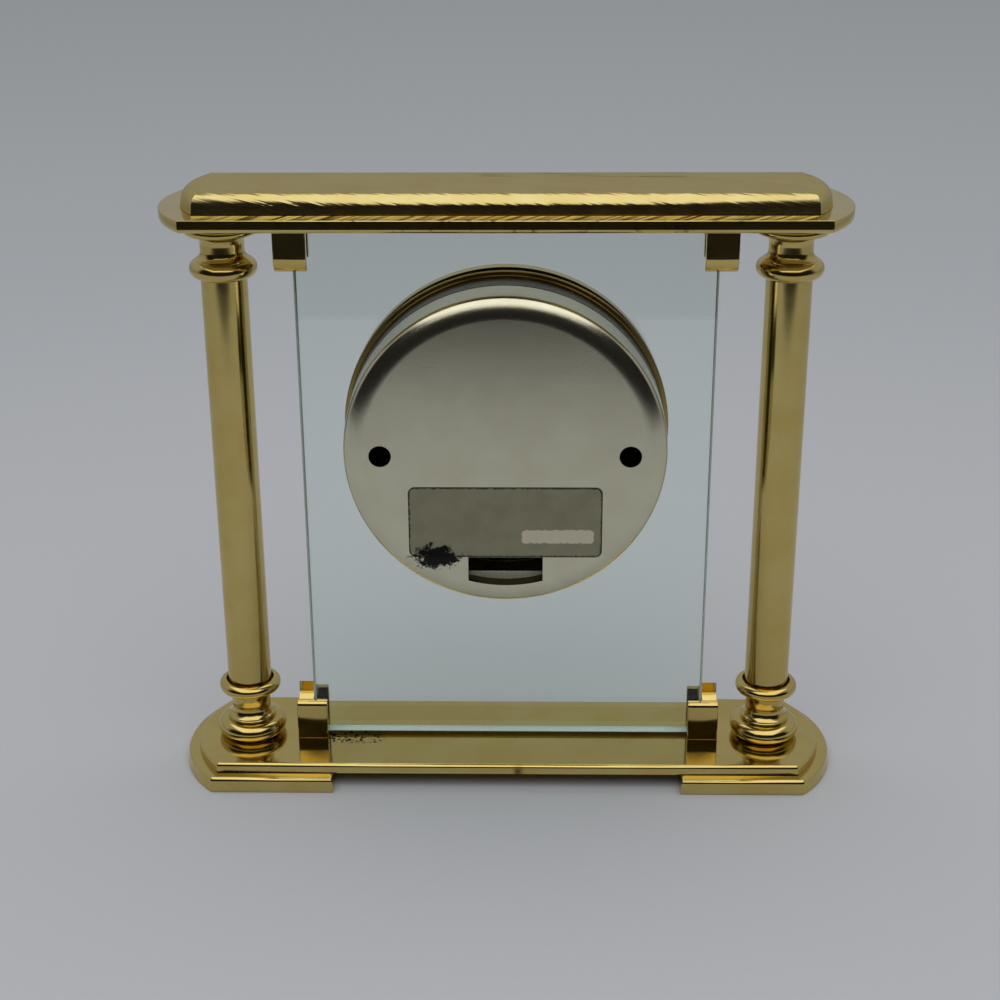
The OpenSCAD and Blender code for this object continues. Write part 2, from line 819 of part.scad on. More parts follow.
module bezel() {
    placed() color("gold") spun() difference() {
        union() {
            translate([bezel_mid_r, bezel_mid_y]) circle(bezel_r);
            box2(bezel_mid_r, bezel_mid_y, bezel_rim_r, -gasket_y);
            box2(bezel_open_r, crystal_front_y - bezel_lip_t, bezel_mid_r, crystal_front_y);
        }
        box2(0, crystal_front_y, crystal_r + hole_play, 0);
        box2(0, tray_front_y - 0.1, tray_flange_r + hole_play, 0);
        box2(0, bezel_mid_y - 2 * bezel_r, bezel_open_r, 0);
    }
}

module crystal_lens() {
    placed() color("lightcyan", 0.3) spun() box2(0, crystal_front_y, crystal_r, crystal_back_y);
}

module front_case() {
    placed() color("khaki") difference() {
        union() {
            spun() {
                box2(tray_in_r, tray_front_y, tray_r, seat_y + seat_t);
                box2(tray_in_r, tray_front_y, tray_flange_r, -gasket_y);
                box2(tray_in_r - seat_w, seat_y, tray_r - 0.2, seat_y + seat_t);
            }
            for (s = [-1, 1]) tab(s, tray_r - 0.3, seat_y);
        }
        for (s = [-1, 1]) rod_y([s * clamp_x, 0], 0, case_y, clamp_d / 2 + 0.02);
    }
}

// An inward tab at nine or three o'clock, from the clamp screw out to radius r
module tab(s, r, y) {
    slab(y, y + tab_t) intersection() {
        scale([s, 1]) box2(tab_in, -tab_w / 2, case_r, tab_w / 2);
        circle(r, $fn = 180);
    }
}

module dial_ring() {
    placed() color("gold") spun() polygon([
        [tray_in_r - 0.2, crystal_back_y + 0.1],
        [tray_in_r - 0.2, dial_y],
        [tray_in_r - ring_back_w, dial_y],
        [tray_in_r - ring_front_w, crystal_back_y + 0.1]]);
}

module dial() {
    placed() color("ivory") spun() box2(bush_r + hole_play, dial_y, dial_r, dial_back_y);
}

module hand_bushing() {
    placed() color("gold") spun() {
        box2(hour_tube_r + run_gap, nut_y - 0.3, bush_r, floor_y);
        box2(hour_tube_r + run_gap, move_y - 0.4, bush_r + 0.8, move_y);
    }
}

module hand_nut() {
    placed() color("gold") difference() {
        slab(nut_y, dial_y) circle(bush_r + nut_w, $fn = 6);
        rod_y(centre_p, nut_y - eps, dial_y + eps, bush_r + 0.02);
    }
}

module dial_washer() {
    placed() color("black") spun() box2(bush_r + 1, dial_back_y, bush_r + 1 + washer_w, move_y);
}

module rear_housing() {
    placed() color("khaki") difference() {
        union() {
            spun() {
                box2(hole_r + gasket_in + hole_play, gasket_y, case_r + flange_out, gasket_y + flange_t);
                box2(cap_in_r, gasket_y, case_r, case_y);
                box2(sleeve_r - case_wall, case_y - case_wall, case_r, case_y);
                box2(sleeve_r - case_wall, case_y - case_wall, sleeve_r, case_y + sleeve_l);
            }
            for (s = [-1, 1]) tab(s, cap_in_r + 0.2, house_tab_y);
        }
        for (s = [-1, 1]) rod_y([s * clamp_x, 0], 0, case_y, clamp_d / 2 + hole_play);
    }
}

module clamp_screws() {
    placed() color("silver") for (s = [-1, 1]) difference() {
        union() {
            rod_y([s * clamp_x, 0], dial_back_y + 0.3, clamp_head_y, clamp_d / 2);
            rod_y([s * clamp_x, 0], clamp_head_y, clamp_head_y + clamp_head_t, clamp_head_d / 2);
        }
        slab(clamp_head_y + 1, clamp_head_y + clamp_head_t + 1)
            translate([s * clamp_x, 0]) square([2 * clamp_head_d, clamp_slot], center = true);
    }
}

// Outline of the finger notch: square at the top, along the rim below
module notch_2d(r, w) {
    top = -notch_r + notch_h;
    intersection() {
        translate([-w / 2, -case_r]) square([w, case_r + top]);
        circle(r, $fn = 180);
    }
}

module rear_cap() {
    inner_r = shoulder_r - case_wall;
    placed() color("tan") difference() {
        union() {
            difference() {
                spun() difference() {
                    union() {
                        box2(0, case_y, case_r - shoulder_r, cap_y);
                        box2(0, case_y, case_r, cap_y - shoulder_r);
                        translate([case_r - shoulder_r, cap_y - shoulder_r]) circle(shoulder_r);
                    }
                    box2(0, case_y - 1, cap_in_r - inner_r, cap_y - case_wall);
                    box2(0, case_y - 1, cap_in_r, cap_y - shoulder_r);
                    translate([case_r - shoulder_r, cap_y - shoulder_r]) circle(inner_r);
                }
                slab(cap_y - 2 * case_wall, cap_y + 1) notch_2d(notch_r, notch_w);
            }
            slab(cap_y - lip_l, cap_y - 0.3) difference() {
                notch_2d(notch_r + case_wall, notch_w);
                circle(notch_r, $fn = 180);
            }
            slab(cap_y - lip_l, cap_y - lip_l + case_wall) difference() {
                notch_2d(notch_r + case_wall / 2, notch_w);
                translate([-notch_w, -notch_r + tab_h]) square([2 * notch_w, 2 * notch_r]);
            }
        }
        for (s = [-1, 1]) rod_y([s * clamp_x, 0], cap_y - 2, cap_y + 1, driver_hole_d / 2);
    }
}

module cap_label() {
    low = -notch_r + notch_h + 0.1;
    placed() color("gray") slab(cap_y, cap_y + label_t)
        round_box2(-label_w / 2, low, label_w / 2, low + label_h, 1.8);
}

// Outline of the movement's case, drawn in by the amount less
module move_2d(less) {
    round_box2(-move_w / 2 + less, -move_h / 2 + less, move_w / 2 - less, move_h / 2 - less, move_r - less);
}

module movement_front() {
    placed() color("dimgray") difference() {
        union() {
            slab(move_y, floor_y) move_2d(0);
            rod_y(motion_p, floor_y - 0.2, motion_y + wheel_t + 0.2, post_r);
            for (p = pillars) rod_y(p, floor_y - 0.2, bridge_y, pillar_r);
        }
        rod_y(centre_p, move_y - 1, floor_y + 1, bush_r + 0.02);
    }
}

module movement_back() {
    placed() color("gray") difference() {
        slab(floor_y, move_back_y) move_2d(0);
        slab(floor_y - 1, move_back_y - move_wall) intersection() {
            move_2d(move_wall);
            box2(-move_w, bay_top + bay_wall, move_w, move_h);
        }
        slab(floor_y - 1, move_back_y + 1) intersection() {
            move_2d(move_wall);
            box2(-move_w, -move_h, move_w, bay_top);
        }
        rod_y(knob_p, move_back_y - 2 * move_wall, move_back_y + 1, knob_pin_r + run_gap);
    }
}

// The plate behind the wheels, with fixed posts for two of them
module train_bridge() {
    placed() color("silver") difference() {
        union() {
            slab(bridge_y, bridge_y + bridge_t) polygon([
                pillars[0] + [-1.6, -2], pillars[2] + [1.6, -1.5], pillars[2] + [1.6, 0.8],
                bridge_notch, [bridge_notch[0], coil_high + 2], pillars[1] + [2.4, 2],
                pillars[1] + [-2.4, 2], pillars[0] + [-1.6, 3]]);
            rod_y(third_p, centre_y - 0.1, bridge_y + 0.2, post_r);
            rod_y(step_p, second_y - 0.1, bridge_y + 0.2, post_r);
        }
        rod_y(centre_p, bridge_y - eps, bridge_y + 2, second_pin_r + run_gap);
        rod_y(rotor_p, bridge_y - eps, bridge_y + 2, post_r + run_gap);
        rod_y(knob_p, bridge_y - eps, bridge_y + 2, knob_pin_r + run_gap);
    }
}

// Turns a hand clockwise from twelve
module pointed(a) {
    rotate(-a) children();
}

// Spade hand: stem, round eye and a drawn-out point, the eye at three fifths of its reach
module spade(reach, hub_r, stem_w) {
    eye = 0.62 * reach;
    eye_r = 0.085 * reach;
    circle(hub_r);
    translate([-stem_w / 2, 0]) square([stem_w, eye]);
    difference() {
        translate([0, eye]) circle(eye_r);
        translate([0, eye]) circle(0.5 * eye_r);
    }
    polygon([[-0.9 * eye_r, eye + 0.5 * eye_r], [0.9 * eye_r, eye + 0.5 * eye_r], [0, reach]]);
}

module hour_hand() {
    placed() color("black") difference() {
        union() {
            slab(hour_hand_y, hour_hand_y + hand_t) pointed(hour_a) spade(hour_l, hour_tube_r + 0.9, 1.5);
            slab(hour_hand_y, hour_hand_y + hub_t) circle(hour_tube_r + 0.6);
        }
        rod_y(centre_p, hour_hand_y - 1, 0, hour_tube_r + 0.02);
    }
}

module minute_hand() {
    placed() color("black") difference() {
        union() {
            slab(minute_hand_y, minute_hand_y + hand_t) pointed(minute_a)
                spade(minute_l, minute_tube_r + 1, 1.2);
            slab(minute_hand_y, minute_hand_y + hub_t) circle(minute_tube_r + 0.6);
        }
        rod_y(centre_p, minute_hand_y - 1, 0, minute_tube_r + 0.02);
    }
}

module hand_cap() {
    placed() color("gold") spun() {
        box2(0, hand_cap_y + 0.2, 1.5, minute_hand_y - 0.1);
        box2(0, hand_cap_y, 1.3, minute_hand_y - 0.1);
    }
}

module hour_wheel() {
    placed() color("white") difference() {
        union() {
            wheel(centre_p, hour_y, hour_n, module_of(motion_dist, hour_n, motion_pinion_n), 0);
            rod_y(centre_p, hour_hand_y, hour_y + wheel_t, hour_tube_r);
        }
        rod_y(centre_p, hour_hand_y - 1, hour_y + 2, minute_tube_r + run_gap);
    }
}

module minute_arbor() {
    placed() color("white") difference() {
        union() {
            wheel(centre_p, motion_y, cannon_n, module_of(motion_dist, cannon_n, motion_n), 0);
            rod_y(centre_p, minute_hand_y, centre_y + wheel_t + 0.1, minute_tube_r);
        }
        rod_y(centre_p, hour_y - 0.4, third_y, second_pin_r + run_gap);
    }
}

module minute_wheel() {
    placed() color("white") difference() {
        union() {
            wheel(motion_p, motion_y, motion_n, module_of(motion_dist, cannon_n, motion_n), motion_tooth);
            slab(hour_y, motion_y + eps) translate(motion_p)
                toothed(motion_pinion_n, module_of(motion_dist, hour_n, motion_pinion_n),
                    motion_pinion_tooth);
        }
        rod_y(motion_p, hour_y - 1, motion_y + 2, post_r + run_gap);
    }
}

module setting_knob() {
    placed() color("white") {
        wheel(knob_p, motion_y, knob_n, module_of(motion_dist, cannon_n, motion_n), knob_tooth);
        rod_y(knob_p, floor_y + 0.3, knob_y + 0.2, knob_pin_r);
        slab(knob_y, knob_y + knob_t) translate(knob_p) difference() {
            circle(knob_d / 2);
            for (i = [0 : 17]) rotate(20 * i) translate([knob_d / 2 + 0.1, 0]) circle(0.4, $fn = 24);
        }
    }
}

module second_wheel() {
    placed() color("white") {
        rod_y(centre_p, hour_y, bridge_y + bridge_t, second_pin_r);
        wheel(centre_p, third_y, second_pinion_n, module_of(third_dist, third_n, second_pinion_n), 0);
        wheel(centre_p, second_y, second_n, module_of(step_dist, second_n, step_pinion_n), 0);
    }
}

module centre_wheel() {
    placed() color("white") difference() {
        wheel(centre_p, centre_y, centre_n, module_of(third_dist, centre_n, third_pinion_n), 0);
        rod_y(centre_p, centre_y - 1, centre_y + 2, minute_tube_r + run_gap);
    }
}

module third_wheel() {
    placed() color("white") difference() {
        union() {
            wheel(third_p, third_y, third_n, module_of(third_dist, third_n, second_pinion_n), third_tooth);
            slab(centre_y, third_y + eps) translate(third_p)
                toothed(third_pinion_n, module_of(third_dist, centre_n, third_pinion_n), third_pinion_tooth);
        }
        rod_y(third_p, centre_y - 1, third_y + 2, post_r + run_gap);
    }
}

module step_wheel() {
    placed() color("white") difference() {
        union() {
            wheel(step_p, step_y, step_n, module_of(rotor_dist, step_n, rotor_n), 0);
            slab(second_y, step_y + eps) translate(step_p)
                toothed(step_pinion_n, module_of(step_dist, second_n, step_pinion_n), step_pinion_tooth);
        }
        rod_y(step_p, second_y - 1, step_y + 2, post_r + run_gap);
    }
}

module rotor() {
    placed() color("gray") {
        wheel(rotor_p, step_y, rotor_n, module_of(rotor_dist, step_n, rotor_n), rotor_tooth);
        rod_y(rotor_p, step_y - 0.3, motor_y + magnet_t + 0.6, post_r);
        rod_y(rotor_p, motor_y, motor_y + magnet_t, rotor_r);
    }
}

module stator() {
    y0 = motor_y + (magnet_t - stator_t) / 2;
    placed() color("silver") {
        slab(y0, y0 + stator_t) difference() {
            box2(stator_left, coil_low - leg_w, coil_x + core_w / 2, coil_high + leg_w);
            box2(stator_window, coil_low, coil_x + core_w, coil_high);
            translate(rotor_p) circle(rotor_r + 0.6);
        }
        slab(y0, y0 + stator_t)
            box2(coil_x - core_w / 2, coil_low - eps, coil_x + core_w / 2, coil_high + eps);
    }
}

module coil() {
    y0 = motor_y + magnet_t / 2;
    len = coil_high - coil_low - 0.2;
    placed() color("orangered") difference() {
        translate([coil_x, y0, head_z + coil_low + 0.1]) cylinder(r = coil_r, h = len);
        translate([coil_x - core_w / 2 - 0.05, y0 - stator_t / 2 - 0.05, head_z + coil_low - 1])
            cube([core_w + 0.1, stator_t + 0.1, len + 3]);
    }
}

module circuit_board() {
    placed() color("green") {
        slab(board_y, board_y + board_t) difference() {
            box2(board_left, board_low, board_right, board_top);
            circle(bush_r - 1);
        }
        slab(board_y + board_t - eps, board_y + board_t + chip_t)
            translate([board_left, board_top]) box2(chip_w, -2 * chip_w, 2 * chip_w, -chip_w);
    }
}

module quartz_can() {
    placed() color("silver") translate([board_right - can_l, board_y + board_t + can_r, head_z - can_l])
        cylinder(r = can_r, h = can_l);
}

module battery() {
    placed() color("gray") translate([battery_x, battery_y, head_z + battery_z])
        rotate([0, 90, 0]) {
            cylinder(r = battery_d / 2, h = battery_l);
            cylinder(r = nub_r, h = battery_l + nub_h);
        }
}

module contact_plus() {
    placed() color("silver") slab(floor_y + contact_in, move_back_y - contact_in)
        translate([move_w / 2 - move_wall, battery_z]) box2(-contact_t, -contact_h / 2, 0, contact_h / 2);
}

module contact_minus() {
    placed() color("silver") {
        slab(floor_y + contact_in, move_back_y - contact_in)
            translate([minus_x, battery_z]) box2(0, -contact_h / 2, contact_t, contact_h / 2);
        translate([minus_x + contact_t / 2, battery_y, head_z + battery_z]) rotate([0, 90, 0])
            cylinder(r1 = spring_r, r2 = spring_r - 1.4,
                h = battery_x - spring_gap - minus_x - contact_t / 2);
    }
}

foot_plate_left();
foot_plate_right();
base_plate();
top_plate();
crown_block();
column_shaft_left();
column_shaft_right();
capital_left();
capital_right();
column_foot_left();
column_foot_right();
tie_bolts();
tie_nuts();
crown_screws();
clip_base_left();
clip_base_right();
clip_top_left();
clip_top_right();
clip_screws();
clip_liners();
glass_panel();
front_gasket();
rear_gasket();
bezel();
crystal_lens();
front_case();
dial_ring();
dial();
hand_bushing();
hand_nut();
dial_washer();
rear_housing();
clamp_screws();
rear_cap();
cap_label();
movement_front();
movement_back();
train_bridge();
hour_hand();
hour_wheel();
minute_hand();
minute_arbor();
hand_cap();
minute_wheel();
setting_knob();
second_wheel();
centre_wheel();
third_wheel();
step_wheel();
rotor();
stator();
coil();
circuit_board();
quartz_can();
battery();
contact_plus();
contact_minus();
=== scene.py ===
"""Looks of the desk clock: every visible piece in brass, nickel, glass, enamel and foil."""

import json
import math

import bmesh
import bpy
from bpy.props import FloatProperty, FloatVectorProperty, PointerProperty
from mathutils import Matrix, Vector


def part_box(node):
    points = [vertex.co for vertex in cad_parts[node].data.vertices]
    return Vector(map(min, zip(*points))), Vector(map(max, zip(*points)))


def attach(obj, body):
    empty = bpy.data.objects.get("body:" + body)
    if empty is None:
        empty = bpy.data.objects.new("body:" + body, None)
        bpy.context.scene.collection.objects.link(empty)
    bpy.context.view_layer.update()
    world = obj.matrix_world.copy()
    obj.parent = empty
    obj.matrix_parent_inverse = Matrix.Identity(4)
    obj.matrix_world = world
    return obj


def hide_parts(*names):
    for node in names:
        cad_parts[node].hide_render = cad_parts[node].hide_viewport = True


bl_info = {
    "name": "Column desk clock",
    "version": (1, 0, 0),
    "blender": (4, 5, 0),
    "location": "View3D > Sidebar > Clock",
    "description": "Builds the visible pieces of a desk clock round its fixed frame",
    "category": "Object",
}

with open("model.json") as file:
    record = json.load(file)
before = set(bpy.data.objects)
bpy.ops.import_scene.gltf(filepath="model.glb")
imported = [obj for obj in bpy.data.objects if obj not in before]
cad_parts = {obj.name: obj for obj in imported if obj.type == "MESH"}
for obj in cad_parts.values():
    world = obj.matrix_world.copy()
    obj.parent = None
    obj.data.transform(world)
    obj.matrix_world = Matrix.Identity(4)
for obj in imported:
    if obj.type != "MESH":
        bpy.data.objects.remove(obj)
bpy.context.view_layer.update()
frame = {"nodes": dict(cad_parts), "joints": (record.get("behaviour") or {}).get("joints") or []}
MM = 0.001


def linear(code):
    """Turns an sRGB hex colour such as "#E8D995" to the linear values that Blender uses."""
    parts = [int(code[i : i + 2], 16) / 255 for i in (1, 3, 5)]
    return tuple(v / 12.92 if v <= 0.04045 else ((v + 0.055) / 1.055) ** 2.4 for v in parts)


def rgba(parts):
    """A colour with full alpha, as node sockets want it."""
    return (*tuple(parts)[:3], 1.0)


def low(node):
    """Lowest corner of a CAD node in millimetres."""
    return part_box(node)[0] / MM


def high(node):
    """Highest corner of a CAD node in millimetres."""
    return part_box(node)[1] / MM


# Places that come from the frame, in millimetres
HEAD = Vector(frame["joints"][0]["pos_m"]) / MM
MIDDLE = Vector((0, HEAD.y, 0))
DECK = high("base_plate").z
SOFFIT = low("top_plate").z
COLUMN_X = (low("column_shaft_right").x + high("column_shaft_right").x) / 2
SIDES = ((1, "right"), (-1, "left"))
# Holes in the plates, in millimetres: radii, how deep bolt heads and nuts sit, a screw head's reach, and how
# far the drill goes past both faces
BOLT_HOLE, BOLT_HEAD, BOLT_SUNK = 2.1, 4.0, 0.3
NUT_POCKET, NUT_SUNK = 4.34, 4
SCREW_HOLE, SCREW_HEAD, SCREW_REACH = 1.4, 2.5, 2.4
DRILL_PAST = 1
# A clip, in millimetres: its worn edges, where the short ear starts to lean, what the closed side keeps
# clear, and how far that side bites into the ears
CLIP_WORN, LEAN_FROM, CLEAR, BITE = 0.15, 4.4, 0.1, 0.3
# The label's corners, the minute track's two rings and the print's thickness, in millimetres
LABEL_CORNER = 1.8
TRACK_INNER, TRACK_OUTER = 32.55, 34.25
PRINT_DEPTH = 0.06
# Steps of a rounded rim
RIM_STEPS = 10
# Where the black smear lies from the axis, in millimetres, and how much wider than high it is
SMEAR, SMEAR_FLAT = (18.2, -28.2), 1.8
# The brush strokes on the crown: the turn of their grain in degrees, their slant, and their depth in mm
STROKE_TURN, STROKE_SLANT, STROKE_DEPTH = 24, 2.6, 0.24
# The soft edge of a stain and the thickness of the coil's wire, in millimetres
STAIN_EDGE, WIRE = 1.5, 0.35
# Patterns that aren't drawn out, and how much of a colour warm patches of brass and dull ones of nickel keep
EVEN = (1, 1, 1)
WARMER, DULLER = (0.952, 0.904, 0.824), (0.9, 0.89, 0.86)
# Where the floor ends on the camera's side, and half its length, in millimetres
FLOOR_END, FLOOR_HALF = 425, 1500


def length(name, millimetres, description):
    """A size of the clock, shown in Blender's own unit."""
    return FloatProperty(
        name=name, description=description, default=millimetres * MM, min=0, precision=5, unit="LENGTH"
    )


def colour(name, code, description):
    """A colour of the clock, given as sRGB hex."""
    return FloatVectorProperty(
        name=name, description=description, default=linear(code), min=0, max=1, size=3, subtype="COLOR"
    )


class ClockSizes(bpy.types.PropertyGroup):
    """Sizes that shape the visible pieces."""

    plate_end: length("Plate end radius", 29.3, "Radius of the bulged ends of the plates")
    plate_depth: length("Plate depth", 40, "Depth of the base plate and the top plate")
    foot_out: length("Foot step", 3.4, "How far the foot plates stand out round the base plate")
    foot_length: length("Foot length", 44.1, "Length of each foot plate")
    foot_bevel: length("Foot bevel", 1.2, "Bevel on the upper edge of the foot plates")
    plate_bevel: length("Plate bevel", 1.1, "Bevel on the plate edges that face the columns")
    crown_in: length("Crown step", 5.6, "How far the crown block steps in from the top plate")
    crown_round: length("Crown edge", 3.6, "Radius of the crown block's rounded upper edge")
    draft: length("Draft", 0.28, "How far the side of a plate leans in below its rounded rim")
    edge_break: length("Broken edge", 0.16, "How far sharp brass edges are worn round")
    ear_less: length("Short ear", 2.9, "How much shorter the second ear of a clip is")
    clip_floor: length("Clip floor", 0.6, "Thickness of the floor that joins a clip's ears")
    clip_ear: length("Clip ear", 2.2, "Thickness of a clip's ears")
    clip_nose: length("Clip nose", 4.4, "Radius that tapers the long ear")
    clip_break: length("Clip edge", 0.25, "How far the ends of a clip are worn round")
    closed_slope: length("Closed side slope", 2.6, "How far the top of a clip's closed side falls")
    clip_lean: length("Clip lean", 0.36, "How far the short ear leans in at its top")
    glass_hole: length("Glass hole", 39, "Radius of the hole in the glass")
    glass_chamfer: length("Glass chamfer", 0.4, "Ground chamfer on the edges of the glass")
    cap_radius: length("Cap radius", 42, "Outer radius of the rear cap and of the case behind the glass")
    shoulder: length("Cap shoulder", 5.5, "Width of the rear cap's rounded shoulder")
    shoulder_tight: length("Shoulder edge", 2.6, "Radius of the tight outer part of that shoulder")
    case_wall: length("Case wall", 0.8, "Wall of the case and of the rear cap")
    driver_hole: length("Driver hole", 5.8, "Diameter of the two round holes in the rear cap")
    driver_x: length("Driver hole place", 32.3, "Distance of the driver holes from the axis")
    notch_width: length("Notch width", 19.6, "Width of the finger notch")
    notch_height: length("Notch height", 8.1, "Height of the finger notch")
    lip_depth: length("Lip depth", 4.9, "Depth of the lip folded in along the notch")
    tab_top: length("Tab top", 34.2, "Distance from the axis to the top of the tab that ends the lip")
    bezel_round: length("Bezel crest", 2.7, "Radius of the bezel's round crest")
    numeral_height: length("Numeral height", 6.4, "Height of the Roman numerals on the dial")
    numeral_place: length("Numeral place", 27.4, "Distance of the middle of the numerals from the axis")


class ClockColours(bpy.types.PropertyGroup):
    """Colours of the clock's finishes."""

    brass: colour("Brass", "#F1D989", "Clean lacquered brass")
    brass_dark: colour("Tarnish", "#7A5A2C", "Brown tarnish on brass")
    nickel: colour("Nickel", "#D5D2BA", "Champagne nickel of the rear cap")
    foil: colour("Foil", "#9B987F", "Worn grey foil of the label")
    foil_bare: colour("Bare strip", "#E0D6BE", "Pale strip where the foil is rubbed off")
    glass: colour("Glass", "#C9FBEA", "Tint of light after a long way through the float glass")
    dial: colour("Dial", "#F3EFE0", "Cream enamel of the dial")
    ink: colour("Print", "#121110", "Black print and lacquer on dial and hands")
    floor: colour("Floor", "#C1C4CA", "Pale floor")
    backdrop: colour("Backdrop", "#8D9094", "Grey backdrop all round")
    backdrop_foot: colour("Backdrop foot", "#ACB0B3", "Foot of the backdrop, lit by the floor")
    backdrop_head: colour("Backdrop head", "#A9ABAD", "Upper part of the backdrop, lit by the softbox")
    room: colour("Dim room", "#1F1E1D", "Dim room behind the camera, past the end of the floor")


def mm(name):
    """A size of the clock in millimetres."""
    return getattr(bpy.context.scene.clock_sizes, name) / MM


def paint(name):
    """A colour of the clock."""
    return rgba(getattr(bpy.context.scene.clock_colours, name))


class Line:
    """A line drawn point by point in a bmesh: a section in X and Z, or an outline in X and Y."""

    def __init__(self, bm, start, across=(0, -1, 0)):
        self.bm = bm
        self.across = across
        self.start = self.tip = bm.verts.new(self.at(start))

    def at(self, point):
        """A point of the drawing plane in space."""
        a, b = point
        return (a, 0, b) if self.across[1] else (a, b, 0)

    def to(self, *points):
        """Straight on to each point in turn."""
        for point in points:
            new = bmesh.ops.extrude_vert_indiv(self.bm, verts=[self.tip])["verts"][0]
            new.co = self.at(point)
            self.tip = new
        return self

    def arc(self, centre, degrees, steps):
        """Round a centre, anticlockwise where degrees are positive."""
        made = bmesh.ops.spin(
            self.bm, geom=[self.tip], cent=self.at(centre), axis=self.across, angle=math.radians(degrees),
            steps=steps, use_merge=False,
        )
        self.tip = [v for v in made["geom_last"] if isinstance(v, bmesh.types.BMVert)][0]
        return self

    def close(self):
        """Back to the first point."""
        self.bm.edges.new((self.tip, self.start))
        return self


def turn(bm, steps):
    """Turns the drawn section once round Z and merges where it meets the axis."""
    bmesh.ops.spin(
        bm, geom=bm.verts[:] + bm.edges[:], cent=(0, 0, 0), axis=(0, 0, 1), angle=math.tau, steps=steps,
        use_merge=True,
    )
    bmesh.ops.remove_doubles(bm, verts=bm.verts, dist=1e-4)


def extrude(bm, vector):
    """Fills the drawn outline and pulls it out along vector."""
    face = bmesh.ops.contextual_create(bm, geom=bm.edges[:])["faces"]
    new = bmesh.ops.extrude_face_region(bm, geom=face)["geom"]
    bmesh.ops.translate(bm, verts=[v for v in new if isinstance(v, bmesh.types.BMVert)], vec=vector)
    bmesh.ops.recalc_face_normals(bm, faces=bm.faces)


def sharp_edges(bm, where=lambda edge: True, angle=25):
    """Edges that turn by more than angle, of those that where picks."""
    return [
        e for e in bm.edges
        if len(e.link_faces) == 2 and e.calc_face_angle(0) > math.radians(angle) and where(e)
    ]


def bevel(bm, edges, width, segments=1):
    """Bevels edges by width."""
    bmesh.ops.bevel(
        bm, geom=edges, offset=width, offset_type="OFFSET", affect="EDGES", segments=segments, profile=0.5,
        material=-1, clamp_overlap=True,
    )


def block(bm, lowest, highest):
    """A box from corner to corner."""
    lowest, highest = Vector(lowest), Vector(highest)
    place = Matrix.Translation((lowest + highest) / 2) @ Matrix.Diagonal((*(highest - lowest), 1))
    bmesh.ops.create_cube(bm, size=1, matrix=place)


def slab(node, width, segments=1, where=lambda edge: True):
    """A visible piece in the shape of its node's box, with the edges that where picks bevelled."""
    bm = bmesh.new()
    block(bm, low(node), high(node))
    bevel(bm, sharp_edges(bm, where), width, segments)
    return to_mesh(bm, "visual_" + node)


def move(bm, matrix):
    """Places everything drawn so far."""
    bmesh.ops.transform(bm, matrix=matrix, verts=bm.verts)


ON_HEAD = Matrix.Translation(HEAD) @ Matrix.Rotation(math.radians(-90), 4, "X")


def to_mesh(bm, name):
    """Ends a drawing: an object with its place in its mesh, in metres."""
    bmesh.ops.scale(bm, vec=(MM, MM, MM), verts=bm.verts)
    bmesh.ops.recalc_face_normals(bm, faces=bm.faces)
    data = bpy.data.meshes.new(name)
    bm.to_mesh(data)
    bm.free()
    item = bpy.data.objects.new(name, data)
    bpy.context.scene.collection.objects.link(item)
    return item


def combine(item, tool, operation="DIFFERENCE"):
    """Cuts tool out of item, or adds it, and removes tool."""
    cut = item.modifiers.new("cut", "BOOLEAN")
    cut.operation = operation
    cut.solver = "EXACT"
    cut.object = tool
    graph = bpy.context.evaluated_depsgraph_get()
    made = bpy.data.meshes.new_from_object(item.evaluated_get(graph))
    item.modifiers.clear()
    old = item.data
    item.data = made
    made.name = item.name
    bpy.data.meshes.remove(old)
    bpy.data.objects.remove(tool)
    if len(made.polygons) < 4:
        raise RuntimeError(f"{item.name} lost its faces")


def lathed(points, steps=256, place=ON_HEAD):
    """A closed section, turned round an axis: points, and arcs as centre, degrees and steps."""
    bm = bmesh.new()
    line = Line(bm, points[0])
    for step in points[1:]:
        if len(step) == 2:
            line.to(step)
        else:
            line.arc(*step)
    line.close()
    turn(bm, steps)
    move(bm, place)
    return bm


def rod(x, radius, start, end, steps=48):
    """A round bar along the head's axis, x beside it, as a tool for combine."""
    bm = bmesh.new()
    bmesh.ops.create_cone(
        bm, cap_ends=True, segments=steps, radius1=radius, radius2=radius, depth=end - start
    )
    move(bm, Matrix.Translation((x, 0, 0)) @ ON_HEAD @ Matrix.Translation((0, 0, (start + end) / 2)))
    return to_mesh(bm, "tool")


def finish(item, slot, replaces, *materials, body="clock", crease=50, level=False):
    """Shades a piece, gives it its materials, and lets it ride on its body in place of CAD nodes.
    Where level is set, faces square to an axis are shaded flat."""
    data = item.data
    data.materials.clear()
    for name in materials:
        data.materials.append(of_kind(name))
    data.shade_smooth()
    data.set_sharp_from_angle(angle=math.radians(crease))
    if level:
        for face in data.polygons:
            face.use_smooth = max(abs(v) for v in face.normal) < 0.99999
    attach(item, body)
    if replaces:
        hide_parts(*replaces)


def divide(item, which):
    """Gives each face the material whose number follows from its place from the head, and its normal."""
    for face in item.data.polygons:
        face.material_index = which(face.center / MM - HEAD, face.normal)


def fill(node, inputs):
    """Sets a node's inputs: values as they are, outputs of other nodes as links."""
    for key, value in inputs.items():
        if isinstance(value, bpy.types.NodeSocket):
            node.id_data.links.new(value, node.inputs[key])
        else:
            node.inputs[key].default_value = value


def add(tree, kind, inputs=(), out=0, **settings):
    """Adds a node with its settings, values and links, and gives one of its outputs."""
    node = tree.nodes.new("ShaderNode" + kind)
    for name, value in settings.items():
        setattr(node, name, value)
    fill(node, inputs if isinstance(inputs, dict) else dict(enumerate(inputs)))
    return node.outputs[out] if len(node.outputs) else None


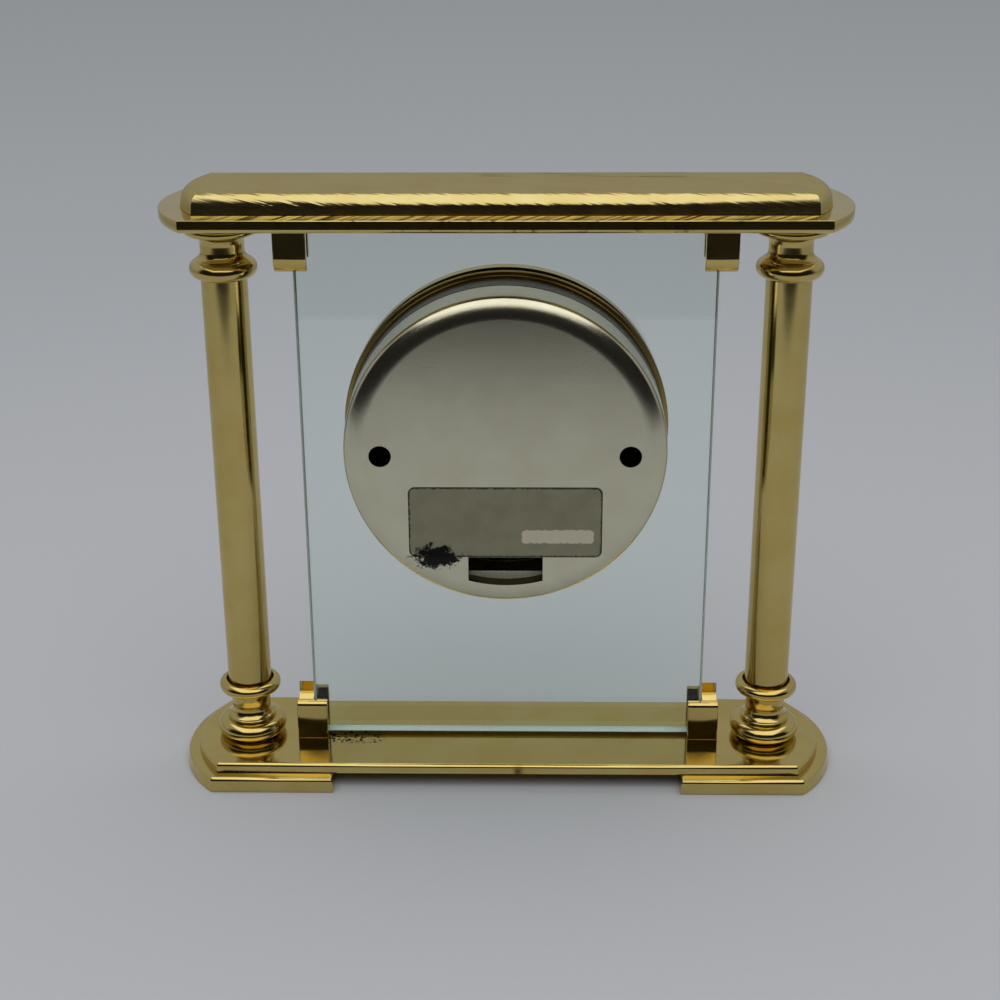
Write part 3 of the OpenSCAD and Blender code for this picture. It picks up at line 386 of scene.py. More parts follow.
def blank(name):
    """An empty material with its tree, the place in metres, and its surface shader."""
    material = bpy.data.materials.new(name)
    material.use_nodes = True
    tree = material.node_tree
    tree.nodes.clear()
    skin = add(tree, "BsdfPrincipled")
    add(tree, "OutputMaterial", (skin,))
    return material, tree, add(tree, "TexCoord", out="Object"), skin.node


def surface(tree, shader):
    """Shows a shader in place of the plain skin, and gives the output node."""
    output = next(n for n in tree.nodes if n.type == "OUTPUT_MATERIAL")
    fill(output, {"Surface": shader})
    return output


def tone(code):
    """A colour from its sRGB hex, or from its name among the clock's colours."""
    return rgba(linear(code)) if code.startswith("#") else paint(code)


def mottle(tree, place, size_mm, detail=3.0, rough=0.5, stretch=EVEN, turned=0):
    """Uneven patches about size_mm wide, drawn out along stretch and turned about Z."""
    drawn = add(tree, "Mapping", {0: place, 2: (0, 0, math.radians(turned)), 3: stretch})
    inputs = {"Vector": drawn, "Scale": 1 / (size_mm * MM), "Detail": detail, "Roughness": rough}
    return add(tree, "TexNoise", inputs)


def tones(tree, pattern, start, end, first, second):
    """Goes from the first colour to the second while a pattern goes from start to end."""
    share = add(tree, "MapRange", (pattern, start, end, 0, 1))
    # The colours of a Mix node are its inputs 6 and 7, and its output 2
    return add(tree, "Mix", {0: share, 6: first, 7: second}, 2, data_type="RGBA")


def worked(tree, skin, reliefs, roughness, gloss=None):
    """Raises the surface along patterns, each by its depth in mm, and lets one vary the roughness: between
    two values, or by 15 % round one."""
    normal = None
    for height, depth_mm in reliefs:
        raised = {"Strength": 1, "Height": height, "Distance": depth_mm * MM}
        if normal is not None:
            raised["Normal"] = normal
        normal = add(tree, "Bump", raised)
    if gloss is not None:
        least, most = roughness if isinstance(roughness, tuple) else (roughness * 0.85, roughness * 1.15)
        roughness = add(tree, "MapRange", (gloss, 0.3, 0.7, least, most))
    fill(skin, {"Roughness": roughness, "Normal": normal})


def stains(tree, place, lowest, highest, size_mm, threshold, soft, stretch=1):
    """Stains of size_mm inside a box given in millimetres, drawn out along X by stretch."""
    pattern = mottle(tree, place, size_mm, stretch=(1 / stretch, 1, 1))
    mask = add(tree, "MapRange", (pattern, threshold, threshold + soft, 0, 1))
    for value, start, end in zip(add(tree, "SeparateXYZ", (place,)).node.outputs, lowest, highest):
        rise = add(tree, "MapRange", (value, (start - STAIN_EDGE) * MM, start * MM, 0, 1))
        fall = add(tree, "MapRange", (value, end * MM, (end + STAIN_EDGE) * MM, 1, 0))
        for share in (rise, fall):
            mask = add(tree, "Math", (mask, share), operation="MULTIPLY")
    return mask


def brass(name, roughness, grain_mm, stretch, depth_mm, tint, hue=EVEN, stained=(), brushed=False):
    """Brass with a drawn-out grain, patches of wear, and where wanted stains and brush strokes."""
    material, tree, place, skin = blank(name)
    base = [v * tint * f for v, f in zip(paint("brass"), hue)]
    warm = [v * f for v, f in zip(base, WARMER)]
    colours = tones(tree, mottle(tree, place, 14, 4, 0.6), 0.42, 0.62, rgba(base), rgba(warm))
    for dark, *stain in stained:
        colours = tones(tree, stains(tree, place, *stain), 0, 1, colours, paint(dark))
    fill(skin, {"Base Color": colours, "Metallic": 1})
    wear = mottle(tree, place, 5, 4, 0.6)
    grain = mottle(tree, place, grain_mm, 3, 0.6, stretch, STROKE_TURN if brushed else 0)
    reliefs = [(grain, depth_mm)]
    if brushed:
        x, y, z = add(tree, "SeparateXYZ", (place,)).node.outputs
        rise = add(tree, "Math", (y, z), operation="SUBTRACT")
        across = add(tree, "Math", (rise, STROKE_SLANT, x), operation="MULTIPLY_ADD")
        along = add(tree, "CombineXYZ", (across,))
        reliefs.append((mottle(tree, along, 5, 2), STROKE_DEPTH))
        # The lacquer keeps the crown's gold where the eye meets it at a low angle
        fill(skin, {"Specular Tint": tone("#FAF0D7")})
    worked(tree, skin, reliefs, roughness, wear)
    return material


# Stains: their colour, lowest and highest corner, size, threshold, softness, and how far they are drawn out
DIRT = ("ink", (36, -1, 6.5), (52, 6, 7.2), 0.9, 0.53, 0.06)
SPOT = ("brass_dark", (-3.6, 18, 4.6), (-2.8, 20, 5.4), 1.2, 0.2, 0.2)
NICKS = ("brass_dark", (-60, 12, 158), (60, 20, 163), 2.0, 0.6, 0.15)
RUBBED = ("brass_dark", (-46, -13, 167), (6, -7, 168), 1.6, 0.47, 0.3, 9)

# Each brass: roughness, grain in mm, how it is drawn out, its depth in mm, how bright it is, hue and stains
BRASSES = {
    # Brass plate, lapped and lacquered: pale satin gold, with dirt by one clip, a brown spot and brown nicks
    "satin_lacquered_brass_plate": (0.1, 0.35, (1, 0.12, 1), 0.0012, 0.7, EVEN, (DIRT, SPOT, NICKS)),
    # The same plate, brushed by hand in slanting strokes that break up the shine on its round edge
    "hand_brushed_brass_crown": (0.19, 0.5, (1, 0.08, 0.3), 0.003, 0.7, (0.97, 1.02, 1.2), (RUBBED,), True),
    # Brass turned on a lathe and polished: crisp reflections drawn out round each column
    "polished_turned_brass": (0.14, 0.25, (0.15, 0.15, 1), 0.0008, 0.68),
    # Drawn brass section, only lightly polished: a broader, softer shine
    "drawn_brass_section": (0.1, 0.3, (0.2, 1, 1), 0.0015, 0.7),
    # Spun brass sheet: smooth, with a faint even grain
    "spun_brass_sheet": (0.14, 0.4, EVEN, 0.001, 0.7),
    # The same sheet behind the glass, where the lacquer has gone dull: soft pale lines without glitter
    "dull_brass_sheet": (0.3, 0.4, EVEN, 0.002, 0.5),
    # Brass sheet darkened to a near black olive brown as painted shade: the dark olive band behind the bright
    # flange, and the lip's inner side
    "browned_brass_sheet": (0.25, 0.4, EVEN, 0.003, 0.07),
}

# Each coated finish: two tones, their patches in mm, roughness, relief and grain in mm, and metallic
COATED = {
    # The folded end inside the finger notch, never polished: a dull olive film, painted paler than the nickel
    # round it as painted light, so that the recessed tab shows light
    "unpolished_nickel_fold": ("#F2EED8", "#DCD7BE", 0.8, 0.5, 0.01, 0.3, 0.2),
    # Zinc plated steel: cool grey, cloudy
    "zinc_plated_steel": ("#A9ABAE", "#8D9093", 2.5, 0.32, 0.003, 0.4, 1.0),
    # Nitrile rubber: dull black, faintly dusty
    "black_nitrile_rubber": ("#141414", "#1E1D1C", 3, 0.75, 0.01, 0.3),
    # Stove enamel on the dial: warm white, very slightly uneven, with a soft gloss
    "cream_dial_enamel": ("dial", "#EEE8D6", 12, 0.35, 0.001, 0.6),
    # Printing ink on enamel: flat black with a faint sheen
    "black_dial_print": ("ink", "#1A1918", 1.5, 0.45, 0.001, 0.2),
    # Black lacquer over stamped steel: glossy
    "black_hand_lacquer": ("#0C0C0C", "#151414", 4, 0.18, 0.001, 0.5),
    # Moulded ABS: matt black with a fine spark-eroded texture
    "matt_black_abs": ("#18181A", "#212123", 6, 0.55, 0.012, 0.35),
    # Moulded acetal wheels: natural white, slightly waxy
    "natural_white_acetal": ("#E6E3D8", "#DAD7CB", 2, 0.4, 0.002, 0.3),
    # Bonded magnet: dark grey, fine and dull
    "bonded_grey_magnet": ("#3A3B3E", "#2E2F31", 1, 0.5, 0.004, 0.15),
    # Lacquered circuit board: glossy dark green in two close tones
    "green_lacquered_board": ("#12422A", "#1B5A36", 1.2, 0.3, 0.01, 0.8),
    # Plain printed battery jacket: smooth grey film
    "plain_battery_jacket": ("#62666B", "#575A5F", 8, 0.28, 0.002, 0.5),
}


def coated(name, first, second, patch_mm, roughness, depth_mm, grain_mm, metallic=0.0):
    """A painted, moulded or plated finish: two close tones in patches, with a fine grain."""
    material, tree, place, skin = blank(name)
    patches = mottle(tree, place, patch_mm, 4, 0.55)
    fill(skin, {
        "Base Color": tones(tree, patches, 0.35, 0.65, tone(first), tone(second)),
        "Metallic": metallic,
    })
    grain = mottle(tree, place, grain_mm, 3, 0.6)
    worked(tree, skin, [(grain, depth_mm)], roughness, grain)
    return material


def black_smear(tree, place):
    """Where old black glue smears over the label's lower corner and the cap below it."""
    centre = Vector((SMEAR[0], 0, HEAD.z + SMEAR[1])) * MM
    away = add(tree, "VectorMath", (place, centre), operation="SUBTRACT")
    away = add(tree, "VectorMath", (away, (1, 0, SMEAR_FLAT)), operation="MULTIPLY")
    away = add(tree, "VectorMath", (away,), "Value", operation="LENGTH")
    ragged = add(tree, "MapRange", (mottle(tree, place, 2.4, 6, 0.75), 0.25, 0.75, -4.5 * MM, 4.5 * MM))
    edge = add(tree, "Math", (away, ragged), operation="ADD")
    return add(tree, "MapRange", (edge, 5.0 * MM, 6.2 * MM, 1, 0))


def from_edge(tree, place, middle, half, corner):
    """Distance to the edge of an upright rectangle with round corners, negative inside, in metres."""
    away = add(tree, "VectorMath", (place, (middle[0], 0, middle[1])), operation="SUBTRACT")
    away = add(tree, "VectorMath", (away, (1, 0, 1)), operation="MULTIPLY")
    away = add(tree, "VectorMath", (away,), operation="ABSOLUTE")
    reach = (half[0] - corner, 0, half[1] - corner)
    past = add(tree, "VectorMath", (away, reach), operation="SUBTRACT")
    beyond = add(tree, "VectorMath", (past, (0, 0, 0)), operation="MAXIMUM")
    outside = add(tree, "VectorMath", (beyond,), "Value", operation="LENGTH")
    x, _, z = add(tree, "SeparateXYZ", (past,)).node.outputs
    inside = add(tree, "Math", (add(tree, "Math", (x, z), operation="MAXIMUM"), 0), operation="MINIMUM")
    both = add(tree, "Math", (inside, outside), operation="ADD")
    return add(tree, "Math", (both, corner), operation="SUBTRACT")


def satin_nickel(name):
    # Pressed steel under champagne nickel: a grainy satin that spreads every highlight
    material, tree, place, skin = blank(name)
    base, ink = paint("nickel"), paint("ink")
    dull = rgba([v * f for v, f in zip(base, DULLER)])
    # The real grain is about 0.1 mm, drawn at 0.35 mm so that it shows
    fine = mottle(tree, place, 0.35, 3, 0.7)
    cloudy = add(tree, "MapRange", (mottle(tree, place, 9, 4, 0.6), 0.35, 0.65, 0, 0.7))
    grainy = add(tree, "MapRange", (fine, 0.35, 0.65, 0, 0.3))
    both = add(tree, "Math", (cloudy, grainy), operation="ADD")
    smear = black_smear(tree, place)
    fill(skin, {
        "Base Color": tones(tree, smear, 0, 1, tones(tree, both, 0, 1, base, dull), ink),
        "Metallic": add(tree, "Math", (1, smear), operation="SUBTRACT"),
        "Specular IOR Level": 0.15,
    })
    worked(tree, skin, [(fine, 0.017)], (0.15, 0.22), fine)
    return material


def worn_foil(name):
    # Aluminium foil label, dulled by handling: grey, with a rubbed bare strip and a dark smear
    material, tree, place, skin = blank(name)
    wavy = add(tree, "MapRange", (mottle(tree, place, 0.9, 4, 0.6), 0.3, 0.7, -0.3 * MM, 0.3 * MM))
    masks = []
    lowest, highest = (Vector((v.x, v.z)) * MM for v in (low("cap_label"), high("cap_label")))
    rim = ((lowest + highest) / 2, (highest - lowest) / 2, LABEL_CORNER * MM)
    strip = (Vector((-13.7, HEAD.z - 22.4)) * MM, Vector((9.4, 1.9)) * MM, 1 * MM)
    for shape, start, end, near, far in ((strip, -0.1, 0.1, 1, 0), (rim, -0.6, -0.2, 0, 0.85)):
        edge = add(tree, "Math", (from_edge(tree, place, *shape), wavy), operation="ADD")
        masks.append(add(tree, "MapRange", (edge, start * MM, end * MM, near, far)))
    patches = mottle(tree, place, 6)
    foil, ink = paint("foil"), paint("ink")
    colours = tones(tree, patches, 0.4, 0.65, foil, rgba([v * 0.88 for v in foil]))
    for mask, over in zip((*masks, black_smear(tree, place)), (paint("foil_bare"), ink, ink)):
        colours = tones(tree, mask, 0, 1, colours, over)
    height = add(tree, "Math", (patches, masks[0]), operation="ADD")
    worked(tree, skin, [(height, 0.02)], 0.45)
    fill(skin, {"Base Color": colours, "Metallic": 0.3, "Specular IOR Level": 0.15})
    return material


def clear_glass(name, ior, tint, through):
    """Glass that lets the colour through fall into its shadow, with its tree and its output node."""
    material, tree, place, skin = blank(name)
    tree.nodes.remove(place.node)
    tree.nodes.remove(skin)
    glass = add(tree, "BsdfGlass", {"Roughness": 0, "IOR": ior, "Color": tone(tint)})
    clear = add(tree, "BsdfTransparent", (tone(through),))
    shade = add(tree, "LightPath", out="Is Shadow Ray")
    return material, tree, surface(tree, add(tree, "MixShader", (shade, glass, clear)))


def float_glass(name):
    # Float glass 5 mm thick: clear, with the green that iron gives its long edges
    material, tree, output = clear_glass(name, 1.52, "#FFFFFF", "#F7FDFB")
    fill(output, {"Volume": add(tree, "VolumeAbsorption", {"Color": paint("glass"), "Density": 34})})
    return material


def crystal_glass(name):
    # Thin mineral glass over the dial: clear, with sharp reflections
    return clear_glass(name, 1.5, "#FDFEFE", "#FAFDFC")[0]


def ground_glass(name):
    # The glass's ground edge: frosted pale green, which scatters the light inside
    material, tree, place, skin = blank(name)
    grit = mottle(tree, place, 0.6, 3, 0.6)
    fill(skin, {"Base Color": tones(tree, grit, 0.3, 0.7, tone("#E4E9E8"), tone("#C6CCCB"))})
    worked(tree, skin, [(grit, 0.004)], (0.25, 0.4), grit)
    return material


def copper_winding(name):
    # Enamelled copper wire wound in even turns: thin orange-brown rings along the coil
    material, tree, place, skin = blank(name)
    rings = {"Vector": place, "Scale": 0.31 / (WIRE * MM), "Distortion": 0.3, "Detail": 1}
    turns = add(tree, "TexWave", rings, 1, bands_direction="Z")
    worked(tree, skin, [(turns, 0.05)], 0.3)
    fill(skin, {"Base Color": tones(tree, turns, 0, 1, tone("#7A3418"), tone("#C8743A")), "Metallic": 0.6})
    return material


MAKERS = {
    "champagne_satin_nickel": satin_nickel,
    "worn_foil_label": worn_foil,
    "clear_float_glass": float_glass,
    "mineral_crystal": crystal_glass,
    "ground_glass_edge": ground_glass,
    "enamelled_copper_winding": copper_winding,
}
MADE = {}


def of_kind(name):
    """The material of that name, made once."""
    if name not in MADE:
        if name in BRASSES:
            MADE[name] = brass(name, *BRASSES[name])
        elif name in COATED:
            MADE[name] = coated(name, *COATED[name])
        else:
            MADE[name] = MAKERS[name](name)
    return MADE[name]


def plate_outline(bm, half_depth, end_radius, start_x=None):
    """Outline of a plate: straight sides and bulged ends, or one end with a straight cut at start_x."""
    centre = high("base_plate").x - mm("plate_end")
    corner = centre + math.sqrt(end_radius**2 - half_depth**2)
    swing = 2 * math.degrees(math.asin(half_depth / end_radius))
    flat = (0, 0, 1)
    if start_x is None:
        line = Line(bm, (corner, -half_depth), flat).arc((centre, 0), swing, 72)
        line.to((-corner, half_depth)).arc((-centre, 0), swing, 72).close()
    else:
        line = Line(bm, (start_x, -half_depth), flat).to((corner, -half_depth))
        line.arc((centre, 0), swing, 72).to((start_x, half_depth)).close()


def plate_object(name, half_depth, end_radius, bottom, top, rim, rim_side, start_x=None):
    """A plate with one rounded rim, its other rim only broken: outlines stacked and bridged.
    Where the rounded rim is the upper one, the side leans in a little, as cast."""
    tall, break_ = top - bottom, mm("edge_break")
    draft = mm("draft") if rim_side > 0 else 0
    levels = [(break_, 0), (0, break_)]
    for step in range(RIM_STEPS + 1):
        angle = math.radians(90 * step / RIM_STEPS)
        levels.append((draft + rim * (1 - math.cos(angle)), tall - rim * (1 - math.sin(angle))))
    bm = bmesh.new()
    last = None
    for inset, z in levels:
        older = set(bm.edges)
        start = None if start_x is None else start_x + inset
        plate_outline(bm, half_depth - inset, end_radius - inset, start)
        loop = [e for e in bm.edges if e not in older]
        bmesh.ops.translate(bm, verts=list({v for e in loop for v in e.verts}), vec=(0, 0, z))
        if last is None:
            bmesh.ops.contextual_create(bm, geom=loop)
        else:
            bmesh.ops.bridge_loops(bm, edges=last + loop)
        last = loop
    bmesh.ops.contextual_create(bm, geom=last)
    if rim_side < 0:
        move(bm, Matrix.Translation((0, 0, tall)) @ Matrix.Diagonal((1, 1, -1, 1)))
    move(bm, Matrix.Translation(MIDDLE + Vector((0, 0, bottom))))
    return to_mesh(bm, name)


def drill(item, x, radius, bottom, top, head=None, head_from=0, up=1):
    """Drills a hole through a plate at x, with a countersink for a screw head if one is given."""
    bottom, top = bottom - DRILL_PAST, top + DRILL_PAST
    section = [(radius, bottom), (radius, top)]
    if head:
        depth = head - radius
        if up > 0:
            section[:1] = [(head, bottom), (head, head_from), (radius, head_from + depth)]
        else:
            section[1:] = [(radius, head_from - depth), (head, head_from), (head, top)]
    bm = bmesh.new()
    Line(bm, (0, bottom)).to(*section, (0, top))
    turn(bm, 48)
    move(bm, Matrix.Translation(MIDDLE + Vector((x, 0, 0))))
    combine(item, to_mesh(bm, "tool"))


class CLOCK_OT_plates(bpy.types.Operator):
    """Foot plates, base plate and top plate with their screw holes"""

    bl_idname = "clock.add_plates"
    bl_label = "Plates"

    def execute(self, context):
        half, end, rim = mm("plate_depth") / 2, mm("plate_end"), mm("plate_bevel")
        out, foot_top, top = mm("foot_out"), low("base_plate").z, high("top_plate").z
        start = high("foot_plate_right").x - mm("foot_length")
        for side, word in SIDES:
            node = "foot_plate_" + word
            foot = plate_object(
                "visual_" + node, half + out, end + out, 0, foot_top, mm("foot_bevel"), 1, start_x=start
            )
            drill(foot, COLUMN_X, BOLT_HOLE, 0, foot_top, BOLT_HEAD, BOLT_SUNK)
            if side < 0:
                foot.data.transform(Matrix.Diagonal((-1, 1, 1, 1)))
                foot.data.flip_normals()
            finish(foot, "plate_brass", [node], "satin_lacquered_brass_plate", level=True)
        base = plate_object("visual_base_plate", half, end, foot_top, DECK, rim, 1)
        upper = plate_object("visual_top_plate", half, end, SOFFIT, top, rim, -1)
        for x in (COLUMN_X, -COLUMN_X):
            drill(base, x, BOLT_HOLE, foot_top, DECK)
            drill(upper, x, BOLT_HOLE, SOFFIT, top)
        clip_screw, crown_screw = (high(node).x - SCREW_REACH for node in ("clip_screws", "crown_screws"))
        for x in (clip_screw, -clip_screw):
            drill(base, x, SCREW_HOLE, foot_top, DECK, SCREW_HEAD, foot_top)
            drill(upper, x, SCREW_HOLE, SOFFIT, top, SCREW_HEAD, top, -1)
        for x in (crown_screw, -crown_screw):
            drill(upper, x, SCREW_HOLE, SOFFIT, top, SCREW_HEAD, SOFFIT)
        for item, node in ((base, "base_plate"), (upper, "top_plate")):
            finish(item, "plate_brass", [node], "satin_lacquered_brass_plate", level=True)
        return {"FINISHED"}


class CLOCK_OT_crown(bpy.types.Operator):
    """Crown block with its rounded upper edge and the pockets for the tie nuts"""

    bl_idname = "clock.add_crown"
    bl_label = "Crown block"

    def execute(self, context):
        step = mm("crown_in")
        bottom, top = low("crown_block").z, high("crown_block").z
        crown = plate_object(
            "visual_crown_block", mm("plate_depth") / 2 - step, mm("plate_end") - step, bottom, top,
            mm("crown_round"), 1,
        )
        for x in (COLUMN_X, -COLUMN_X):
            drill(crown, x, NUT_POCKET, bottom, bottom + NUT_SUNK - DRILL_PAST)
        finish(crown, "plate_brass", ["crown_block"], "hand_brushed_brass_crown", level=True)
        return {"FINISHED"}


# A capital from above: flange, bead, cove, neck, hollow, big bead, and the groove round the shaft
CAPITAL = (
    (2.1, 0), (9.5, 0), ((9.5, -1.0), -180, 12), (8.7, -2.0), ((8.7, -3.3), -180, 14), (7.27, -4.6),
    ((9.2, -7.4), 55.5, 14), (5.8, -7.4), (5.8, -9.1), ((8.4, -9.1), 62.5, 14), (7.2, -11.41), (7.2, -11.6),
    ((6.5, -13.9), -163, 26), (6.5, -16.3), (6.15, -16.3), (6.15, -14.7), (2.1, -14.7),
)
# A foot from below: disc, small bead, hollows round the neck, and the ring with its groove
FOOT = (
    (2.1, 0), (7.1, 0), ((7.1, 2.6), 180, 28), (6.85, 5.2), (6.85, 6.0), (6.7, 6.15), (6.7, 6.48),
    ((8.3, 8.9), -56.5, 12), (5.4, 8.9), (5.4, 12.4), ((7.0, 12.4), -61, 10), (6.225, 13.8), (6.95, 13.8),
    ((6.95, 15.55), 180, 24), (6.75, 17.3), (6.2, 16.1), (6.2, 15.7), (2.1, 15.7),
)


class CLOCK_OT_columns(bpy.types.Operator):
    """Column shafts, capitals and feet, turned from their sections"""

    bl_idname = "clock.add_columns"
    bl_label = "Columns"

    def execute(self, context):
        bottom, top = low("column_shaft_left").z, high("column_shaft_left").z
        tall = top - bottom
        tube = ((5, 0), (5.95, 0), (6.1, 0.15), (6.1, tall - 0.15), (5.95, tall), (5, tall))
        kinds = (("column_shaft_", bottom, tube), ("capital_", SOFFIT, CAPITAL), ("column_foot_", DECK, FOOT))
        for side, word in SIDES:
            for node, height, section in kinds:
                place = Matrix.Translation(MIDDLE + Vector((side * COLUMN_X, 0, height)))
                item = to_mesh(lathed(section, 160, place), "visual_" + node + word)
                finish(item, "turned_brass", [node + word], "polished_turned_brass", crease=38)
        return {"FINISHED"}


class CLOCK_OT_clips(bpy.types.Operator):
    """Four clips that hold the corners of the glass, each with a long and a short ear"""

    bl_idname = "clock.add_clips"
    bl_label = "Clips"

    def section(self, half, tall):
        """Side view: a leaning short ear with a quarter-round edge, a long ear with a tapered nose."""
        ear, nose, lean = mm("clip_ear"), mm("clip_nose"), mm("clip_lean")
        low_ear = tall - mm("ear_less")
        swing = math.degrees(math.acos((nose - ear) / nose))
        nose_z = tall - nose * math.sin(math.radians(swing))
        bm = bmesh.new()
        line = Line(bm, (CLIP_WORN - half, 0)).to((half - CLIP_WORN, 0), (half, CLIP_WORN), (half, LEAN_FROM))
        line.to((half - lean, low_ear - ear + lean)).arc((half - ear, low_ear - ear + lean), 90, 10)
        line.to((half - ear, mm("clip_floor")), (ear - half, mm("clip_floor")), (ear - half, tall))
        line.arc((nose - half, nose_z), swing, 14).to((-half, CLIP_WORN)).close()
        return bm

    def closed_side(self, width, inner, tall):
        """The wall that closes a clip's outer end, its top sloping to the short ear."""
        bm = bmesh.new()
        reach, top = inner + BITE, tall - mm("ear_less") - 2 * CLEAR
        block(bm, (CLEAR, -reach, 2 * CLEAR), (width / 2 - CLEAR, reach, top))
        front = [v for v in bm.verts if v.co.z > tall / 2 and v.co.y > 0]
        bmesh.ops.translate(bm, verts=front, vec=(0, 0, -mm("closed_slope")))
        return to_mesh(bm, "tool")

    def execute(self, context):
        width, depth, tall = high("clip_base_right") - low("clip_base_right")
        half = depth / 2
        for side, word in SIDES:
            for flip, place, seat_z in ((1, "base", DECK), (-1, "top", SOFFIT)):
                node = f"clip_{place}_{word}"
                bm = self.section(half, tall)
                extrude(bm, (0, -width, 0))
                move(bm, Matrix.Rotation(math.radians(90), 4, "Z") @ Matrix.Translation((0, width / 2, 0)))
                ends = sharp_edges(bm, lambda e: abs(e.verts[0].co.x - e.verts[1].co.x) < 1e-4, 60)
                bevel(bm, ends, mm("clip_break"), 3)
                clip = to_mesh(bm, "visual_" + node)
                combine(clip, self.closed_side(width, half - mm("clip_ear"), tall), "UNION")
                seat = Vector(((low(node).x + high(node).x) / 2, MIDDLE.y, seat_z)) * MM
                clip.data.transform(Matrix.Translation(seat) @ Matrix.Diagonal((side, flip, flip, 1)))
                if side < 0:
                    clip.data.flip_normals()
                finish(clip, "clip_brass", [node], "drawn_brass_section", level=True, crease=60)
        return {"FINISHED"}


class CLOCK_OT_glass(bpy.types.Operator):
    """Glass panel with its ground edges and round hole"""

    bl_idname = "clock.add_glass"
    bl_label = "Glass panel"

    def execute(self, context):
        panel = slab("glass_panel", mm("glass_chamfer"))
        combine(panel, rod(0, mm("glass_hole"), -4, 4, 192))
        finish(panel, "panel_glass", ["glass_panel"], "clear_float_glass", "ground_glass_edge",
               level=True, crease=30)
        divide(panel, lambda place, normal: abs(normal.y) < 0.9)
        return {"FINISHED"}


def notch_tool(reach, start, end, half_width, top):
    """A tool in the shape of the finger notch: square at the top, round along the rim."""
    bm = bmesh.new()
    side = math.degrees(math.asin(half_width / reach))
    drop = -math.sqrt(reach**2 - half_width**2)
    line = Line(bm, (-half_width, top)).to((-half_width, drop)).arc((0, 0), 2 * side, 24)
    line.to((half_width, top)).close()
    extrude(bm, (0, end - start, 0))
    move(bm, Matrix.Translation(HEAD + Vector((0, start, 0))))
    return to_mesh(bm, "tool")


class CLOCK_OT_rear_case(bpy.types.Operator):
    """Case behind the glass, with its flange, sleeve and screw tabs"""

    bl_idname = "clock.add_rear_case"
    bl_label = "Rear case"

    def execute(self, context):
        radius, wall = mm("cap_radius"), mm("case_wall")
        sleeve = radius - wall - 0.3
        item = to_mesh(lathed([
            (39.4, 2.9), (43.05, 2.9), (43.3, 3.05), (43.3, 3.5), (43.05, 3.7), (radius + 0.25, 3.7),
            (radius, 3.95), (radius, 12.1), (radius - 0.3, 12.4), (sleeve, 12.4), (sleeve, 17.7),
            (sleeve - 0.2, 17.9), (sleeve - wall, 17.9), (sleeve - wall, 11.6), (radius - wall, 11.6),
            (radius - wall, 3.7), (39.4, 3.7),
        ]), "visual_rear_housing")
        for side, (inner, outer) in ((1, (29.3, 41.5)), (-1, (-41.5, -29.3))):
            bm = bmesh.new()
            block(bm, HEAD + Vector((inner, 5.6, -4.2)), HEAD + Vector((outer, 7.2, 4.2)))
            combine(item, to_mesh(bm, "tool"), "UNION")
            combine(item, rod(side * mm("driver_x"), 1.6, 5, 8))
        finish(item, "case_brass", ["rear_housing"], "dull_brass_sheet", "browned_brass_sheet", crease=35)
        # Material 1, the brass darkened as painted shade, goes on the outer wall behind the flange
        divide(item, lambda place, _: place.y > 4.2 and math.hypot(place.x, place.z) > radius - 0.5)
        return {"FINISHED"}


class CLOCK_OT_cap(bpy.types.Operator):
    """Rear cap with its shoulder, driver holes, finger notch and folded lip"""

    bl_idname = "clock.add_cap"
    bl_label = "Rear cap"

    def execute(self, context):
        radius, wall, shoulder = mm("cap_radius"), mm("case_wall"), mm("shoulder")
        back = high("rear_cap").y - HEAD.y
        tight, tight_turn = mm("shoulder_tight"), 58
        cosine, sine = math.cos(math.radians(tight_turn)), math.sin(math.radians(tight_turn))
        broad = (shoulder - tight * (1 - cosine)) / cosine
        flat = radius - shoulder
        inner = back - broad * (1 - sine) - tight * sine
        cap = to_mesh(lathed([
            (0, back), (flat, back), ((flat, back - broad), tight_turn - 90, 12),
            ((radius - tight, inner), -tight_turn, 14), (radius, 12.75), (radius - 0.2, 12.5),
            (radius - wall, 12.5), (radius - wall, inner), ((radius - tight, inner), tight_turn, 14),
            ((flat, back - broad), 90 - tight_turn, 12), (0, back - wall),
        ]), "visual_rear_cap")
        top, half = mm("notch_height") - flat, mm("notch_width") / 2
        combine(cap, notch_tool(flat, back - 2 * wall, back + 1, half, top))
        for side, _ in SIDES:
            combine(cap, rod(side * mm("driver_x"), mm("driver_hole") / 2, back - 3, back + 1))
        deep = back - mm("lip_depth")
        lip = notch_tool(flat + wall, deep, back - 0.3, half, top)
        combine(lip, rod(0, flat, deep - 1, back + 1, 256))
        combine(lip, notch_tool(flat + wall / 2, deep, deep + wall, half, -mm("tab_top")), "UNION")
        combine(cap, lip, "UNION")
        # The tab takes the nickel painted pale as painted light, and the lip's inner side takes the brass
        # darkened as painted shade
        finish(cap, "cap_nickel", ["rear_cap"], "champagne_satin_nickel", "unpolished_nickel_fold",
               "browned_brass_sheet", body="cap", crease=35)

        def fold(place, normal):
            """1 on the tab inside the notch, painted pale as painted light; 2 on the lip's inner side,
            darkened as painted shade; and 0 elsewhere.
            """
            across = math.hypot(place.x, place.z)
            inward = -(normal.x * place.x + normal.z * place.z) / max(across, 1e-3)
            if normal.y > 0.9 and abs(place.y - deep - wall) < 0.1:
                return 1
            return 2 if inward > 0.9 and abs(across - flat) < 0.1 and abs(place.x) < half else 0

        divide(cap, fold)
        return {"FINISHED"}


class CLOCK_OT_label(bpy.types.Operator):
    """Foil label on the rear cap"""

    bl_idname = "clock.add_label"
    bl_label = "Foil label"

    def execute(self, context):
        label = slab("cap_label", LABEL_CORNER, 8, lambda e: abs(e.verts[0].co.y - e.verts[1].co.y) > 0.01)
        finish(label, "label_foil", ["cap_label"], "worn_foil_label", body="cap", crease=40, level=True)
        return {"FINISHED"}


